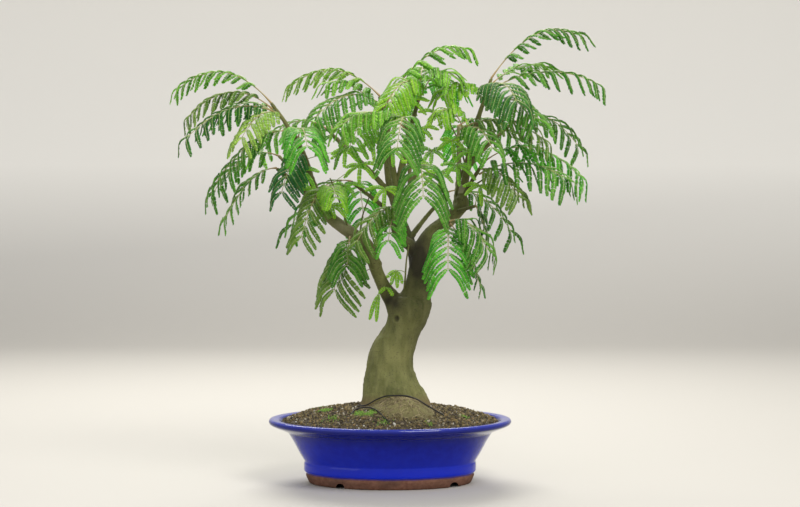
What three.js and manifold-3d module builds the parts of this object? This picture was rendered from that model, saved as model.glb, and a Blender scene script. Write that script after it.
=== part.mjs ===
// A persian silk tree (Albizia) grown as a bonsai, standing in an oval glazed pot.
// Millimetres, +Z up, the viewer of the front looks along +Y. The tree is one solid from its roots to its twigs.
// Each feathery leaf is a solid of its own: a petiole and rachis that carry opposite pairs of blades, the pinnae.
// The origin is under the middle of the whole object, on the surface that the pot stands on.
import * as THREE from 'three';
import { mergeVertices } from 'three/addons/utils/BufferGeometryUtils.js';
import Module from 'manifold-3d';

const wasm = await Module();
wasm.setup();

// The gap that neighbouring solids keep.
const GAP = 0.35;

// Pot: an oval bowl with a wide turned-out rim, on an unglazed foot ring.
const POT = {
  halfLength: 200,
  halfWidth: 152,
  sides: 28,
  footInner: 124,
  recessTop: 10,
  recessInner: 121,
  floorTop: 20,
  floorEdge: 120,
  frontNotches: [-80, 104],
  notchWidth: 14,
  notchHeight: 9,
  drainX: 62,
  drainRadius: 11,
  wireHoleX: 84,
  wireHoleY: 22,
  wireHoleRadius: 3,
};
const LENGTH_LESS_WIDTH = POT.halfLength - POT.halfWidth;
// Half length and height of the pot's outside, from the foot up to the rim and over it.
const POT_OUTSIDE = [
  [133, 0], [139, 13], [137.5, 17], [142, 20], [142, 33], [140.5, 36],
  [149, 50], [159, 69], [169, 85], [194, 95], [199, 98], [200, 102], [197, 106],
];
// The same for its inside, from the rim down to the floor.
const POT_INSIDE = [[183, 105], [180, 100], [161, 84], [141, 50], [132, 30]];

// Soil: fills the pot and rises in a mound to the trunk, with a pad of matted roots in front of it.
const SOIL = { edgeHeight: 101, rise: 26, bottomClear: 1.6, rings: [0.96, 0.84, 0.71, 0.59, 0.48, 0.38, 0.27] };
const ROOT_PAD = { x: 18, y: -54, height: 23, halfLength: 60, halfWidth: 44, lean: 0.35 };

// Plastic mesh over each drainage hole, under the soil.
const MESH = { side: 34, thickness: 1, holes: 3, hole: 7, pitch: 9.8 };

// Trunk: x, y, z and radius of its sections, from the buried root crown up to the fork.
const TRUNK = [
  [8, 2, 66, 26], [8, 2, 84, 46], [8, 2, 104, 59], [8, 1, 122, 58], [8, 0, 134, 54.5], [6, 0, 147, 51.5],
  [3, 0, 160, 48], [1, 1, 173, 43], [0, 2, 188, 38.5], [2, 3, 208, 37], [8, 3, 229, 36], [17, 2, 246, 33.5],
  [26, 0, 263, 32.5], [31, -2, 279, 34.3], [34, -3, 295, 34.5], [36, -3, 306, 27],
];
const TRUNK_SIDES = 12;
// Thick roots inside the soil: heading in degrees and length.
const ROOTS = [[18, 78], [110, 50], [172, 80], [290, 54]];

// Limbs, branches and twigs: x, y, z and radius along each. Each starts inside the wood that it grows from.
const LIMBS = {
  right_limb: [
    [35, -2, 284, 30], [43, -2, 309, 25], [46, -1, 335, 18.6], [50, 0, 362, 16.5], [55, 2, 385, 16],
    [68, 4, 407, 14.5], [90, 6, 427, 12.5], [110, 8, 446, 11], [121, 8, 459, 9.5], [116, 6, 472, 8.5],
  ],
  left_limb: [
    [20, -4, 280, 24], [3, -5, 303, 14.5], [-11, -6, 325, 10.6], [-20, -6, 345, 10], [-28, -8, 368, 10.8],
    [-38, -10, 390, 11.2], [-62, -14, 410, 10.6], [-90, -16, 430, 9.6], [-114, -14, 452, 8.2],
    [-140, -10, 480, 6.4], [-164, -14, 500, 4.6], [-184, -26, 516, 2.8],
  ],
  middle_limb: [
    [50, 2, 364, 12], [36, 4, 388, 10], [16, 4, 404, 9], [8, 2, 432, 8.2], [12, 0, 470, 7.2],
    [20, 4, 520, 6], [30, 4, 570, 4.6], [42, 0, 612, 3.4], [50, -4, 645, 2.6],
  ],
  back_limb: [
    [46, 6, 334, 13], [40, 34, 372, 10], [24, 66, 418, 8], [4, 92, 468, 6.4], [-6, 112, 524, 5],
    [-4, 126, 580, 3.6], [0, 138, 622, 2.6],
  ],
  tall_limb: [
    [116, 8, 456, 8], [124, 7, 500, 6.4], [132, 4, 545, 5.4], [142, 2, 590, 4.2], [156, 0, 634, 3.2],
    [166, -2, 664, 2.6],
  ],
  far_left: [[-112, -14, 450, 7], [-128, -2, 496, 5.8], [-148, 8, 548, 4.6], [-172, 8, 592, 3.4], [-195, 5, 624, 2.6]],
  near_left: [[-126, -3, 490, 4.4], [-136, -34, 532, 3.4], [-153, -66, 572, 2.5]],
  left_front: [[-112, -14, 450, 4.2], [-104, -42, 470, 3.2], [-100, -62, 486, 2.5]],
  left_low: [[-58, -12, 408, 4], [-64, -28, 403, 3.2], [-68, -42, 397, 2.5]],
  top_left: [[13, 0, 474, 5.6], [2, 2, 530, 4.6], [-10, 0, 588, 3.5], [-17, -4, 634, 2.6]],
  front_high: [[10, 0, 440, 5.2], [22, -38, 464, 4.4], [36, -80, 494, 3.5], [46, -116, 516, 2.5]],
  front_top: [[33, -71, 488, 3.6], [30, -94, 540, 3], [26, -112, 588, 2.4]],
  front_low: [[8, 1, 424, 4.2], [12, -44, 438, 3.3], [16, -88, 453, 2.5]],
  right_low: [[86, 4, 424, 4.4], [94, -28, 430, 3.4], [97, -56, 431, 2.5]],
  right_mid: [[117, 6, 462, 4.6], [134, -10, 496, 3.5], [152, -28, 526, 2.5]],
  right_inner: [[132, 2, 548, 3.9], [124, -34, 564, 3.1], [115, -64, 578, 2.4]],
  right_stub: [[108, 4, 446, 3.6], [128, -22, 452, 2.9], [138, -36, 455, 2.4]],
  right_back: [[128, 6, 520, 4.4], [162, 24, 556, 3.4], [200, 40, 590, 2.5]],
  back_right: [[108, 8, 446, 5.8], [114, 48, 500, 4.6], [116, 92, 552, 3.5], [116, 120, 590, 2.5]],
  back_low_right: [[32, 52, 400, 5], [62, 82, 438, 3.7], [98, 106, 478, 2.5]],
  back_low_left: [[18, 72, 430, 5], [-22, 86, 462, 3.6], [-66, 94, 496, 2.5]],
  back_left: [[2, 94, 474, 5.2], [-42, 106, 522, 4], [-80, 110, 558, 3.1], [-108, 112, 586, 2.5]],
  left_back: [[-138, -10, 478, 4.8], [-160, 32, 512, 3.6], [-186, 64, 538, 2.5]],
};
const THICK = 7;

// Leaves: the twig that carries it, place on the twig from its end, the leaf's tip, the height of its arch,
// the pairs of pinnae, the longest pinna and how strongly the pinnae hang.
const LEAVES = {
  leaf_far_left_1: ['far_left', 0, [-346, 15, 650], 74, 9, 50, 0.75],
  leaf_far_left_2: ['far_left', 8, [-324, -34, 602], 64, 9, 54, 0.8],
  leaf_far_left_3: ['far_left', 16, [-322, -78, 566], 52, 9, 50, 0.95],
  leaf_far_left_4: ['far_left', 24, [-236, -88, 562], 40, 8, 48, 0.9],
  leaf_near_left_1: ['near_left', 0, [-278, -92, 490], 58, 9, 64, 0.8],
  leaf_near_left_2: ['near_left', 9, [-126, -186, 546], 44, 9, 68, 1.0],
  leaf_near_left_3: ['near_left', 36, [-172, -98, 474], 30, 8, 48, 1.1],
  leaf_left_tip_1: ['left_limb', 0, [-264, -48, 438], 40, 8, 50, 0.6],
  leaf_left_front_1: ['left_front', 0, [-140, -112, 404], 40, 9, 50, 0.9],
  leaf_left_front_2: ['left_front', 9, [-84, -140, 468], 26, 7, 44, 1.1],
  leaf_left_low_1: ['left_low', 0, [-90, -66, 318], 16, 8, 76, 1.3],
  leaf_left_low_2: ['left_low', 9, [-68, -84, 344], 14, 7, 56, 1.2],
  leaf_top_left_1: ['top_left', 0, [-156, 2, 656], 62, 9, 56, 0.7],
  leaf_top_left_2: ['top_left', 9, [-130, -112, 594], 46, 9, 60, 0.75],
  leaf_top_left_3: ['top_left', 18, [118, -12, 712], 62, 9, 54, 0.8],
  leaf_tall_1: ['tall_limb', 0, [302, 10, 738], 64, 9, 54, 0.7],
  leaf_tall_2: ['tall_limb', 9, [256, 64, 688], 26, 9, 52, 0.5],
  leaf_tall_3: ['tall_limb', 18, [336, -26, 654], 48, 9, 60, 0.9],
  leaf_tall_4: ['tall_limb', 27, [198, -152, 618], 46, 9, 68, 1.1],
  leaf_front_high_1: ['front_high', 0, [52, -208, 468], 42, 9, 84, 1.15],
  leaf_front_top_1: ['front_top', 0, [12, -212, 542], 44, 9, 70, 1.1],
  leaf_front_top_2: ['front_top', 9, [-72, -190, 580], 44, 9, 56, 0.85],
  leaf_front_low_1: ['front_low', 0, [-52, -146, 412], 36, 8, 56, 1.15],
  leaf_front_low_2: ['front_low', 9, [-2, -168, 414], 26, 7, 44, 1.1],
  leaf_right_mid_1: ['right_mid', 0, [300, -60, 508], 66, 9, 76, 1.1],
  leaf_right_mid_2: ['right_mid', 10, [204, -100, 470], 28, 8, 50, 1.2],
  leaf_right_low_1: ['right_low', 0, [156, -92, 386], 36, 8, 74, 1.3],
  leaf_right_low_2: ['right_low', 9, [92, -122, 354], 22, 8, 70, 1.2],
  leaf_right_low_3: ['right_low', 20, [146, -52, 326], 24, 8, 34, 0.9],
  leaf_right_stub_1: ['right_stub', 0, [156, -42, 424], 8, 5, 38, 0.9],
  leaf_right_inner_1: ['right_inner', 0, [242, -104, 562], 44, 9, 58, 0.8],
  leaf_right_inner_2: ['right_inner', 9, [160, -156, 558], 36, 7, 50, 1.0],
  leaf_middle_1: ['middle_limb', 0, [-4, -104, 616], 46, 9, 56, 1.0],
  leaf_middle_2: ['middle_limb', 9, [60, 118, 676], 56, 8, 56, 0.8],
  leaf_tall_5: ['tall_limb', 36, [86, -58, 634], 40, 8, 54, 0.8],
  leaf_top_left_4: ['top_left', 27, [-64, -104, 548], 40, 8, 54, 0.9],
  leaf_right_inner_3: ['right_inner', 18, [74, -104, 604], 34, 7, 48, 0.9],
  leaf_tall_6: ['tall_limb', 45, [230, -124, 606], 40, 8, 60, 0.9],
  leaf_right_mid_3: ['right_mid', 20, [272, -112, 488], 40, 8, 74, 1.2],
  leaf_middle_3: ['middle_limb', 18, [98, -72, 664], 46, 7, 52, 0.8],
  leaf_top_left_5: ['top_left', 36, [-94, -58, 640], 40, 7, 52, 0.8],
  leaf_far_left_5: ['far_left', 32, [-290, 112, 606], 52, 7, 54, 0.8],
  leaf_back_left_1: ['back_left', 0, [-226, 172, 552], 58, 7, 60, 0.8],
  leaf_back_left_2: ['back_left', 9, [-106, 240, 578], 58, 7, 60, 0.8],
  leaf_back_top_1: ['back_limb', 0, [14, 262, 612], 62, 7, 60, 0.8],
  leaf_back_top_2: ['back_limb', 9, [112, 204, 660], 58, 7, 56, 0.8],
  leaf_back_right_1: ['back_right', 0, [236, 190, 552], 60, 7, 60, 0.8],
  leaf_back_right_2: ['back_right', 9, [128, 254, 548], 56, 7, 60, 0.8],
  leaf_back_low_right_1: ['back_low_right', 0, [210, 168, 410], 52, 7, 60, 0.8],
  leaf_back_low_left_1: ['back_low_left', 0, [-172, 160, 420], 52, 7, 60, 0.8],
  leaf_back_low_left_2: ['back_low_left', 9, [-48, 216, 430], 50, 7, 58, 0.8],
  leaf_right_back_1: ['right_back', 0, [318, 92, 556], 62, 7, 60, 0.8],
  leaf_left_back_1: ['left_back', 0, [-300, 96, 478], 56, 7, 60, 0.8],
};
const LEAF = {
  petioleRadius: 1.7,
  tipRadius: 1.1,
  petioleShare: 0.17,
  rootWidth: 3,
  halfWidth: 5.5,
  ridge: 1.15,
  twist: 0.35,
};
// The stretches of a pinna, as how far it has come to hang, the share of its length, and the width at its end.
const PINNA_STRETCHES = [[0.15, 0.4, 1], [1.7, 0.6, 0]];
// How far it has come to hang where its widest section lies across it.
const PINNA_MIDDLE = 0.9;
// Where a leaf would cross another, its tip turns (degrees) and lifts, and its base moves round the twig (degrees).
const LEAF_CHOICES = [
  [0, 0, 0], [0, 0, 50], [0, 0, -50], [7, 0, 25], [-7, 0, -25], [0, 14, 0], [0, -14, 0], [14, 0, 60], [-14, 0, -60],
  [0, 14, 110], [0, 14, -110], [-24, 0, 0], [24, 0, 0],
];
// Each of its pinnae then bends up or down (degrees) or shortens. The first choice that leaves it clear is taken.
const PINNA_CHOICES = [[0, 1], [11, 1], [-11, 1], [22, 1], [-22, 1], [0, 0.7], [18, 0.7], [-18, 0.7], [0, 0.45]];

// Tie wire that holds the root ball down, as two bent rods whose ends go into the soil.
const WIRE_RADIUS = 1.1;
const WIRE_SIDES = 5;
const WIRES = {
  tie_wire_long: [
    [-70, -8, 106], [-66, -12, 122], [-53, -27, 129], [-37, -44, 133], [-21, -50, 142.5], [-5, -55, 148.5],
    [11, -57, 149.5], [27, -58, 149], [43, -58.5, 144], [59, -59, 134.6], [75, -60, 125], [86, -70, 119.3],
    [91, -82, 108],
  ],
  tie_wire_short: [
    [-66, -78, 106], [-61, -70, 121.5], [-51, -50, 128], [-38, -53, 130], [-26, -66, 129.3], [-18, -77, 125.8],
    [-10, -94, 119.5], [-3, -107, 114], [-1, -111, 102],
  ],
};

const degrees = (value) => (value * Math.PI) / 180;
const vector = (x, y, z) => new THREE.Vector3(x, y, z);

// Solids and meshes.
function geometryFrom(positions, triangles) {
  const geometry = new THREE.BufferGeometry();
  geometry.setAttribute('position', new THREE.Float32BufferAttribute(positions, 3));
  geometry.setIndex(triangles);
  return geometry;
}

function solidOf(geometry) {
  const bare = geometry.clone();
  bare.deleteAttribute('normal');
  bare.deleteAttribute('uv');
  const merged = mergeVertices(bare, 1e-4);
  return new wasm.Manifold(
    new wasm.Mesh({
      numProp: 3,
      vertProperties: new Float32Array(merged.attributes.position.array),
      triVerts: new Uint32Array(merged.index.array),
    }),
  );
}

function meshOf(name, solid, material) {
  const raw = solid.getMesh();
  const mesh = new THREE.Mesh(geometryFrom([...raw.vertProperties], [...raw.triVerts]), material);
  mesh.name = name;
  return mesh;
}

// A closed skin over rings of points, each ring counter-clockwise seen from the end that the rings run towards.
function skin(rings) {
  const count = rings[0].length;
  const points = rings.flat();
  const triangles = [];
  for (let ring = 0; ring + 1 < rings.length; ring++) {
    for (let i = 0; i < count; i++) {
      const a = ring * count + i;
      const b = ring * count + ((i + 1) % count);
      triangles.push(a, b, b + count, a, b + count, a + count);
    }
  }
  for (const [ring, first, second] of [[0, 2, 1], [rings.length - 1, 1, 2]]) {
    const middle = points.length;
    const centre = vector(0, 0, 0);
    rings[ring].forEach((point) => centre.addScaledVector(point, 1 / count));
    points.push(centre);
    for (let i = 0; i < count; i++) {
      const pair = [ring * count + i, ring * count + ((i + 1) % count)];
      triangles.push(middle, pair[first - 1], pair[second - 1]);
    }
  }
  return geometryFrom(points.flatMap((point) => point.toArray()), triangles);
}

function ovalRing(halfLength, halfWidth, height, sides = POT.sides) {
  return Array.from({ length: sides }, (_, i) => {
    const angle = (2 * Math.PI * i) / sides;
    return vector(halfLength * Math.cos(angle), halfWidth * Math.sin(angle), height);
  });
}

const potRing = (halfLength, height) => ovalRing(halfLength, halfLength - LENGTH_LESS_WIDTH, height);

// A round rod or branch through the given sections, as x, y, z and radius.
function rod(sections, sides, between = 1) {
  const centres = sections.map(([x, y, z]) => vector(x, y, z));
  const curve = new THREE.CatmullRomCurve3(centres, false, 'centripetal');
  const steps = (sections.length - 1) * between;
  let side = vector(0, 1, 0);
  const rings = Array.from({ length: steps + 1 }, (_, step) => {
    const place = step / between;
    const low = Math.min(Math.floor(place), sections.length - 2);
    const radius = THREE.MathUtils.lerp(sections[low][3], sections[low + 1][3], place - low);
    const centre = curve.getPoint(step / steps);
    const along = curve.getTangent(step / steps).normalize();
    side.addScaledVector(along, -side.dot(along)).normalize();
    const other = along.clone().cross(side);
    return Array.from({ length: sides }, (_, i) => {
      const angle = (2 * Math.PI * i) / sides;
      return centre
        .clone()
        .addScaledVector(side, radius * Math.cos(angle))
        .addScaledVector(other, radius * Math.sin(angle));
    });
  });
  return skin(rings);
}

// Pot.
function potSolid() {
  const rings = [
    potRing(POT.recessInner, POT.recessTop),
    potRing(POT.footInner, 0),
    ...POT_OUTSIDE.map(([halfLength, height]) => potRing(halfLength, height)),
    ...POT_INSIDE.map(([halfLength, height]) => potRing(halfLength, height)),
    potRing(POT.floorEdge, POT.floorTop),
  ];
  let pot = solidOf(skin(rings));
  const arch = new THREE.Shape();
  const shoulder = POT.notchHeight - POT.notchWidth / 2;
  arch.moveTo(-POT.notchWidth / 2, -1);
  arch.lineTo(POT.notchWidth / 2, -1);
  arch.lineTo(POT.notchWidth / 2, shoulder);
  arch.absarc(0, shoulder, POT.notchWidth / 2, 0, Math.PI);
  for (const x of POT.frontNotches) {
    const notch = new THREE.ExtrudeGeometry(arch, { depth: POT.halfWidth, bevelEnabled: false, curveSegments: 2 });
    notch.rotateX(Math.PI / 2).translate(x, 0, 0);
    pot = pot.subtract(solidOf(notch));
    pot = pot.subtract(solidOf(notch.rotateZ(Math.PI)));
  }
  for (const side of [-1, 1]) {
    pot = pot.subtract(solidOf(holeThroughFloor(side * POT.drainX, 0, POT.drainRadius, 12)));
    for (const y of [-POT.wireHoleY, POT.wireHoleY]) {
      pot = pot.subtract(solidOf(holeThroughFloor(side * POT.wireHoleX, y, POT.wireHoleRadius, 6)));
    }
  }
  return pot;
}

function holeThroughFloor(x, y, radius, sides) {
  const hole = new THREE.CylinderGeometry(radius, radius, POT.floorTop, sides);
  return hole.rotateX(Math.PI / 2).translate(x, y, (POT.recessTop + POT.floorTop) / 2);
}

// Drainage mesh.
function drainMesh(x) {
  const height = POT.floorTop + GAP + MESH.thickness / 2;
  const first = (-(MESH.holes - 1) / 2) * MESH.pitch;
  let plate = solidOf(new THREE.BoxGeometry(MESH.side, MESH.side, MESH.thickness).translate(x, 0, height));
  for (let column = 0; column < MESH.holes; column++) {
    for (let row = 0; row < MESH.holes; row++) {
      const hole = new THREE.BoxGeometry(MESH.hole, MESH.hole, 3 * MESH.thickness);
      hole.translate(x + first + column * MESH.pitch, first + row * MESH.pitch, height);
      plate = plate.subtract(solidOf(hole));
    }
  }
  return plate;
}

// Tree.
function trunkSolid(grow = 0) {
  const rings = TRUNK.map(([x, y, z, radius], index) => {
    const flare = Math.max(0, 1 - Math.abs(z - 110) / 70);
    return Array.from({ length: TRUNK_SIDES }, (_, i) => {
      const angle = (2 * Math.PI * i) / TRUNK_SIDES;
      const lobes = 1 + 0.07 * flare * Math.cos(5 * angle + 0.6) + 0.02 * Math.sin(3 * angle + z / 40);
      const reach = radius * lobes + grow;
      return vector(x + reach * Math.cos(angle), y + reach * Math.sin(angle), index ? z : z - grow);
    });
  });
  return solidOf(skin(rings));
}

function rootSolid([heading, length], grow = 0) {
  const turn = degrees(heading);
  const at = (reach, height) => [8 + reach * Math.cos(turn), 2 + 0.78 * reach * Math.sin(turn), height];
  const sections = [
    [...at(30, 92), 12 + grow],
    [...at(34 + 0.42 * length, 78), 8 + grow],
    [...at(34 + length + grow, 52 - grow), 3.5 + grow],
  ];
  return solidOf(rod(sections, 5));
}

function branchSolids() {
  return Object.values(LIMBS).map((sections) => {
    const thickness = sections[0][3];
    const sides = thickness > 10 ? 8 : thickness > THICK ? 6 : 4;
    return solidOf(rod(sections, sides));
  });
}

// Soil.
function soilHeight(x, y) {
  const reach = Math.min(1, Math.hypot(x / 180, y / 132));
  const ripple = 1.2 * Math.sin(x / 17 + 1) * Math.cos(y / 13) * (1 - reach);
  const padX = ROOT_PAD.x + ROOT_PAD.lean * (ROOT_PAD.y - y);
  const pad = Math.hypot((x - padX) / ROOT_PAD.halfLength, (y - ROOT_PAD.y) / ROOT_PAD.halfWidth);
  const padHeight = ROOT_PAD.height * Math.max(0, 1 - pad * pad) ** 1.5;
  return SOIL.edgeHeight + SOIL.rise * (1 - reach ** 3) + ripple + padHeight;
}

function soilSolid() {
  const side = (halfLength, height) => potRing(halfLength - 2 * GAP, height);
  const rings = [side(POT.floorEdge, POT.floorTop + SOIL.bottomClear)];
  rings.push(...POT_INSIDE.slice(1).reverse().map(([halfLength, height]) => side(halfLength, height)));
  for (const share of SOIL.rings) {
    rings.push(
      side(POT_INSIDE[1][0], 0).map((edge) => {
        const x = edge.x * share;
        const y = edge.y * share;
        return vector(x, y, soilHeight(x, y));
      }),
    );
  }
  return solidOf(skin(rings));
}

// Leaves. A leaf's axis is a parabola from its base on the twig to its tip.
function leafAxis(base, tip, arch) {
  const middle = base.clone().lerp(tip, 0.5).add(vector(0, 0, arch));
  return new THREE.QuadraticBezierCurve3(base, middle, tip);
}

function leafFrame(axis, share) {
  const ahead = axis.v2.clone().sub(axis.v0).setZ(0).normalize();
  const side = ahead.clone().cross(vector(0, 0, 1));
  const along = axis.getTangent(share).normalize();
  const up = side.clone().cross(along);
  return { centre: axis.getPoint(share), along, side, up };
}

const wobble = (leaf, pinna, kind) => Math.sin(17.3 * leaf + 5.71 * pinna + 2.39 * kind * kind);

function leafSection(axis, share, grow = 0) {
  const { centre, side, up } = leafFrame(axis, share);
  const radius = THREE.MathUtils.lerp(LEAF.petioleRadius, LEAF.tipRadius, share) + grow;
  return {
    top: centre.clone().addScaledVector(up, radius),
    right: centre.clone().addScaledVector(up, -radius / 2).addScaledVector(side, radius * 0.87),
    left: centre.clone().addScaledVector(up, -radius / 2).addScaledVector(side, -radius * 0.87),
  };
}

// The places along the axis where each pair of pinnae has its root.
function pairShare(leaf, pair) {
  const last = 1 - LEAF.rootWidth / leaf.length;
  return THREE.MathUtils.lerp(LEAF.petioleShare, last, pair / (leaf.pairs - 1));
}

// The widest section of one pinna, as ridge, near edge and far edge, and then its tip.
function pinnaShape(leaf, axis, pair, right, choice) {
  const [bend, shorten] = PINNA_CHOICES[choice];
  const share = pairShare(leaf, pair);
  const frame = leafFrame(axis, share);
  const along = frame.along;
  const outward = frame.side.clone().multiplyScalar(right ? 1 : -1);
  const place = pair / (leaf.pairs - 1);
  const number = 2 * pair + (right ? 1 : 0);
  const steep = Math.max(0, -along.z);
  const forward = degrees(38 + (22 - 14 * steep) * place + 4 * wobble(leaf.number, number, 1));
  const start = outward
    .clone()
    .multiplyScalar(Math.cos(forward))
    .addScaledVector(along, Math.sin(forward))
    .addScaledVector(frame.up, 0.14 + 0.05 * wobble(leaf.number, number, 2));
  start.applyAxisAngle(along, degrees(bend) * (right ? -1 : 1));
  const hang = vector(0, 0, -1).addScaledVector(along, (0.65 + 0.35 * steep) * along.z);
  const envelope = 0.7 + 0.3 * Math.sin(Math.PI * (0.12 + 0.72 * place));
  const length = leaf.pinna * shorten * envelope * (1 + 0.05 * wobble(leaf.number, number, 3));
  const size = 0.55 + 0.45 * Math.min(1, length / 50);
  const droop = leaf.droop * (1 + 0.15 * wobble(leaf.number, number, 4));
  const headingAt = (pull) => start.clone().addScaledVector(hang, pull * droop).normalize();
  const middle = headingAt(PINNA_MIDDLE);
  const swing = new THREE.Quaternion().setFromUnitVectors(outward, middle);
  const face = frame.up.clone().applyQuaternion(swing);
  const across = along.clone().applyQuaternion(swing).multiplyScalar(Math.cos(LEAF.twist));
  across.addScaledVector(face, -Math.sin(LEAF.twist));
  const point = frame.centre.clone().addScaledVector(outward, 1);
  const sections = [];
  for (const [pull, run, width] of PINNA_STRETCHES) {
    const heading = headingAt(pull);
    point.addScaledVector(heading, run * length);
    const normal = heading.clone().cross(across).normalize();
    normal.multiplyScalar(Math.sign(normal.dot(face)) || 1);
    const half = LEAF.halfWidth * size * width;
    sections.push({
      ridge: point.clone().addScaledVector(normal, width ? LEAF.ridge : 0),
      near: point.clone().addScaledVector(across, -half),
      far: point.clone().addScaledVector(across, half),
    });
  }
  return sections;
}

// A section made larger by the gap all round.
function padded({ ridge, near, far }) {
  const across = far.clone().sub(near).normalize();
  const up = ridge.clone().sub(near.clone().lerp(far, 0.5)).normalize();
  return {
    ridge: ridge.clone().addScaledVector(up, GAP),
    near: near.clone().addScaledVector(across, -GAP).addScaledVector(up, -GAP),
    far: far.clone().addScaledVector(across, GAP).addScaledVector(up, -GAP),
  };
}

// A closed blade over a pinna's sections, to test what it meets. It starts a share of the first stretch out.
function pinnaProbe(root, shape, right, out, pad) {
  const start = {};
  for (const key of ['ridge', 'near', 'far']) start[key] = root[key].clone().lerp(shape[0][key], out);
  const [wide, tip] = shape;
  const middle = wide.near.clone().lerp(wide.far, 0.5);
  const end = {};
  for (const key of ['ridge', 'near', 'far']) {
    end[key] = tip[key].clone().addScaledVector(wide[key].clone().sub(middle), 0.04);
  }
  const sections = [start, wide, end].map((section) => (pad ? padded(section) : section));
  const turn = right ? ['ridge', 'near', 'far'] : ['ridge', 'far', 'near'];
  const points = sections.flatMap((section) => turn.map((key) => section[key]));
  const triangles = [0, 2, 1, 6, 7, 8];
  for (const first of [0, 3]) {
    addBand(triangles, points, [first, first + 1, first + 2], [first + 3, first + 4, first + 5]);
  }
  return solidOf(geometryFrom(points.flatMap((point) => point.toArray()), triangles));
}

// A band of triangles between two triangles. Each of its sides is split so that it bulges outwards.
function addBand(triangles, points, low, high) {
  for (let i = 0; i < 3; i++) {
    const [a, b, c, d] = [low[i], low[(i + 1) % 3], high[(i + 1) % 3], high[i]];
    const [ab, ac, ad] = [b, c, d].map((corner) => points[corner].clone().sub(points[a]));
    if (ab.cross(ac).dot(ad) < 0) triangles.push(a, b, c, a, c, d);
    else triangles.push(a, b, d, b, c, d);
  }
}

// A leaf with the pinnae that shapes holds, by pair and side, as one closed skin. A pinna grows out of a triangle of
// the rachis's own skin, so nothing is left to join.
function leafSkin(leaf, axis, shapes, grow = 0) {
  const points = [];
  const triangles = [];
  const put = (point) => points.push(point) - 1;
  const putSection = (share) => {
    const section = leafSection(axis, share, grow);
    return { top: put(section.top), right: put(section.right), left: put(section.left) };
  };
  const halfRoot = LEAF.rootWidth / 2 / leaf.length;
  let last = putSection(0);
  triangles.push(last.top, last.left, last.right);
  const join = (from, to, right, left) => {
    triangles.push(from.right, from.left, to.left, from.right, to.left, to.right);
    triangles.push(from.top, to.right, to.top, from.top, to.top, to.left);
    if (!right) triangles.push(from.top, from.right, to.right);
    if (!left) triangles.push(from.top, to.left, from.left);
  };
  const growPinna = (from, to, shape, right) => {
    const edges = right ? [from.right, to.right] : [to.left, from.left];
    const [wide, end] = shape;
    const pair = right ? [wide.near, wide.far] : [wide.far, wide.near];
    const high = [put(wide.ridge), put(pair[0]), put(pair[1])];
    addBand(triangles, points, [from.top, ...edges], high);
    const tip = put(end.ridge);
    for (let i = 0; i < 3; i++) triangles.push(high[i], high[(i + 1) % 3], tip);
  };
  for (let pair = 0; pair < leaf.pairs; pair++) {
    const middle = pairShare(leaf, pair);
    const start = putSection(middle - halfRoot);
    const end = putSection(middle + halfRoot);
    const [leftShape, rightShape] = shapes[pair];
    join(last, start, false, false);
    join(start, end, rightShape, leftShape);
    if (rightShape) growPinna(start, end, rightShape, true);
    if (leftShape) growPinna(start, end, leftShape, false);
    last = end;
  }
  triangles.push(last.top, last.right, last.left);
  return solidOf(geometryFrom(points.flatMap((point) => point.toArray()), triangles));
}

function rootOf(leaf, axis, pair, right) {
  const middle = pairShare(leaf, pair);
  const halfRoot = LEAF.rootWidth / 2 / leaf.length;
  const start = leafSection(axis, middle - halfRoot);
  const end = leafSection(axis, middle + halfRoot);
  return right
    ? { ridge: start.top, near: start.right, far: end.right }
    : { ridge: start.top, near: start.left, far: end.left };
}

// Where a leaf's petiole starts, a gap clear of the bark of its twig: beyond the end, or beside it further back.
function leafBase(leaf, round = 0) {
  const sections = LIMBS[leaf.twig];
  const [end, before] = [sections.at(-1), sections.at(-2)];
  const tip = vector(...end);
  const inward = vector(...before).sub(tip);
  const twigRadius = THREE.MathUtils.lerp(end[3], before[3], leaf.back / inward.length());
  inward.normalize();
  const place = tip.clone().addScaledVector(inward, leaf.back);
  const aim = leafAxis(place, leaf.tip, leaf.arch).getTangent(0);
  const tilt = (direction) => Math.sqrt(Math.max(0, 1 - aim.dot(direction) ** 2));
  if (leaf.back === 0) return place.addScaledVector(inward, -GAP - 0.3 - LEAF.petioleRadius * tilt(inward));
  const out = aim.clone().addScaledVector(inward, -aim.dot(inward)).normalize();
  out.applyAxisAngle(inward, degrees(round));
  return place.addScaledVector(out, twigRadius + GAP + 0.2 + LEAF.petioleRadius * tilt(out));
}

function turnedTip(base, leaf, [turn, lift]) {
  const reach = leaf.tip.clone().sub(base).applyAxisAngle(vector(0, 0, 1), degrees(turn));
  return base.clone().add(reach).add(vector(0, 0, lift));
}

// What has been placed so far, with a box round each solid for a quick test.
const placed = [];

function withBox(solid) {
  const { min, max } = solid.boundingBox();
  return { solid, box: new THREE.Box3(vector(...min), vector(...max)) };
}

function meets(solid, others = placed) {
  const { box } = withBox(solid);
  return others.some((other) => {
    if (!other.box.intersectsBox(box)) return false;
    const common = solid.intersect(other.solid);
    const hit = !common.isEmpty();
    common.delete();
    return hit;
  });
}

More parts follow.
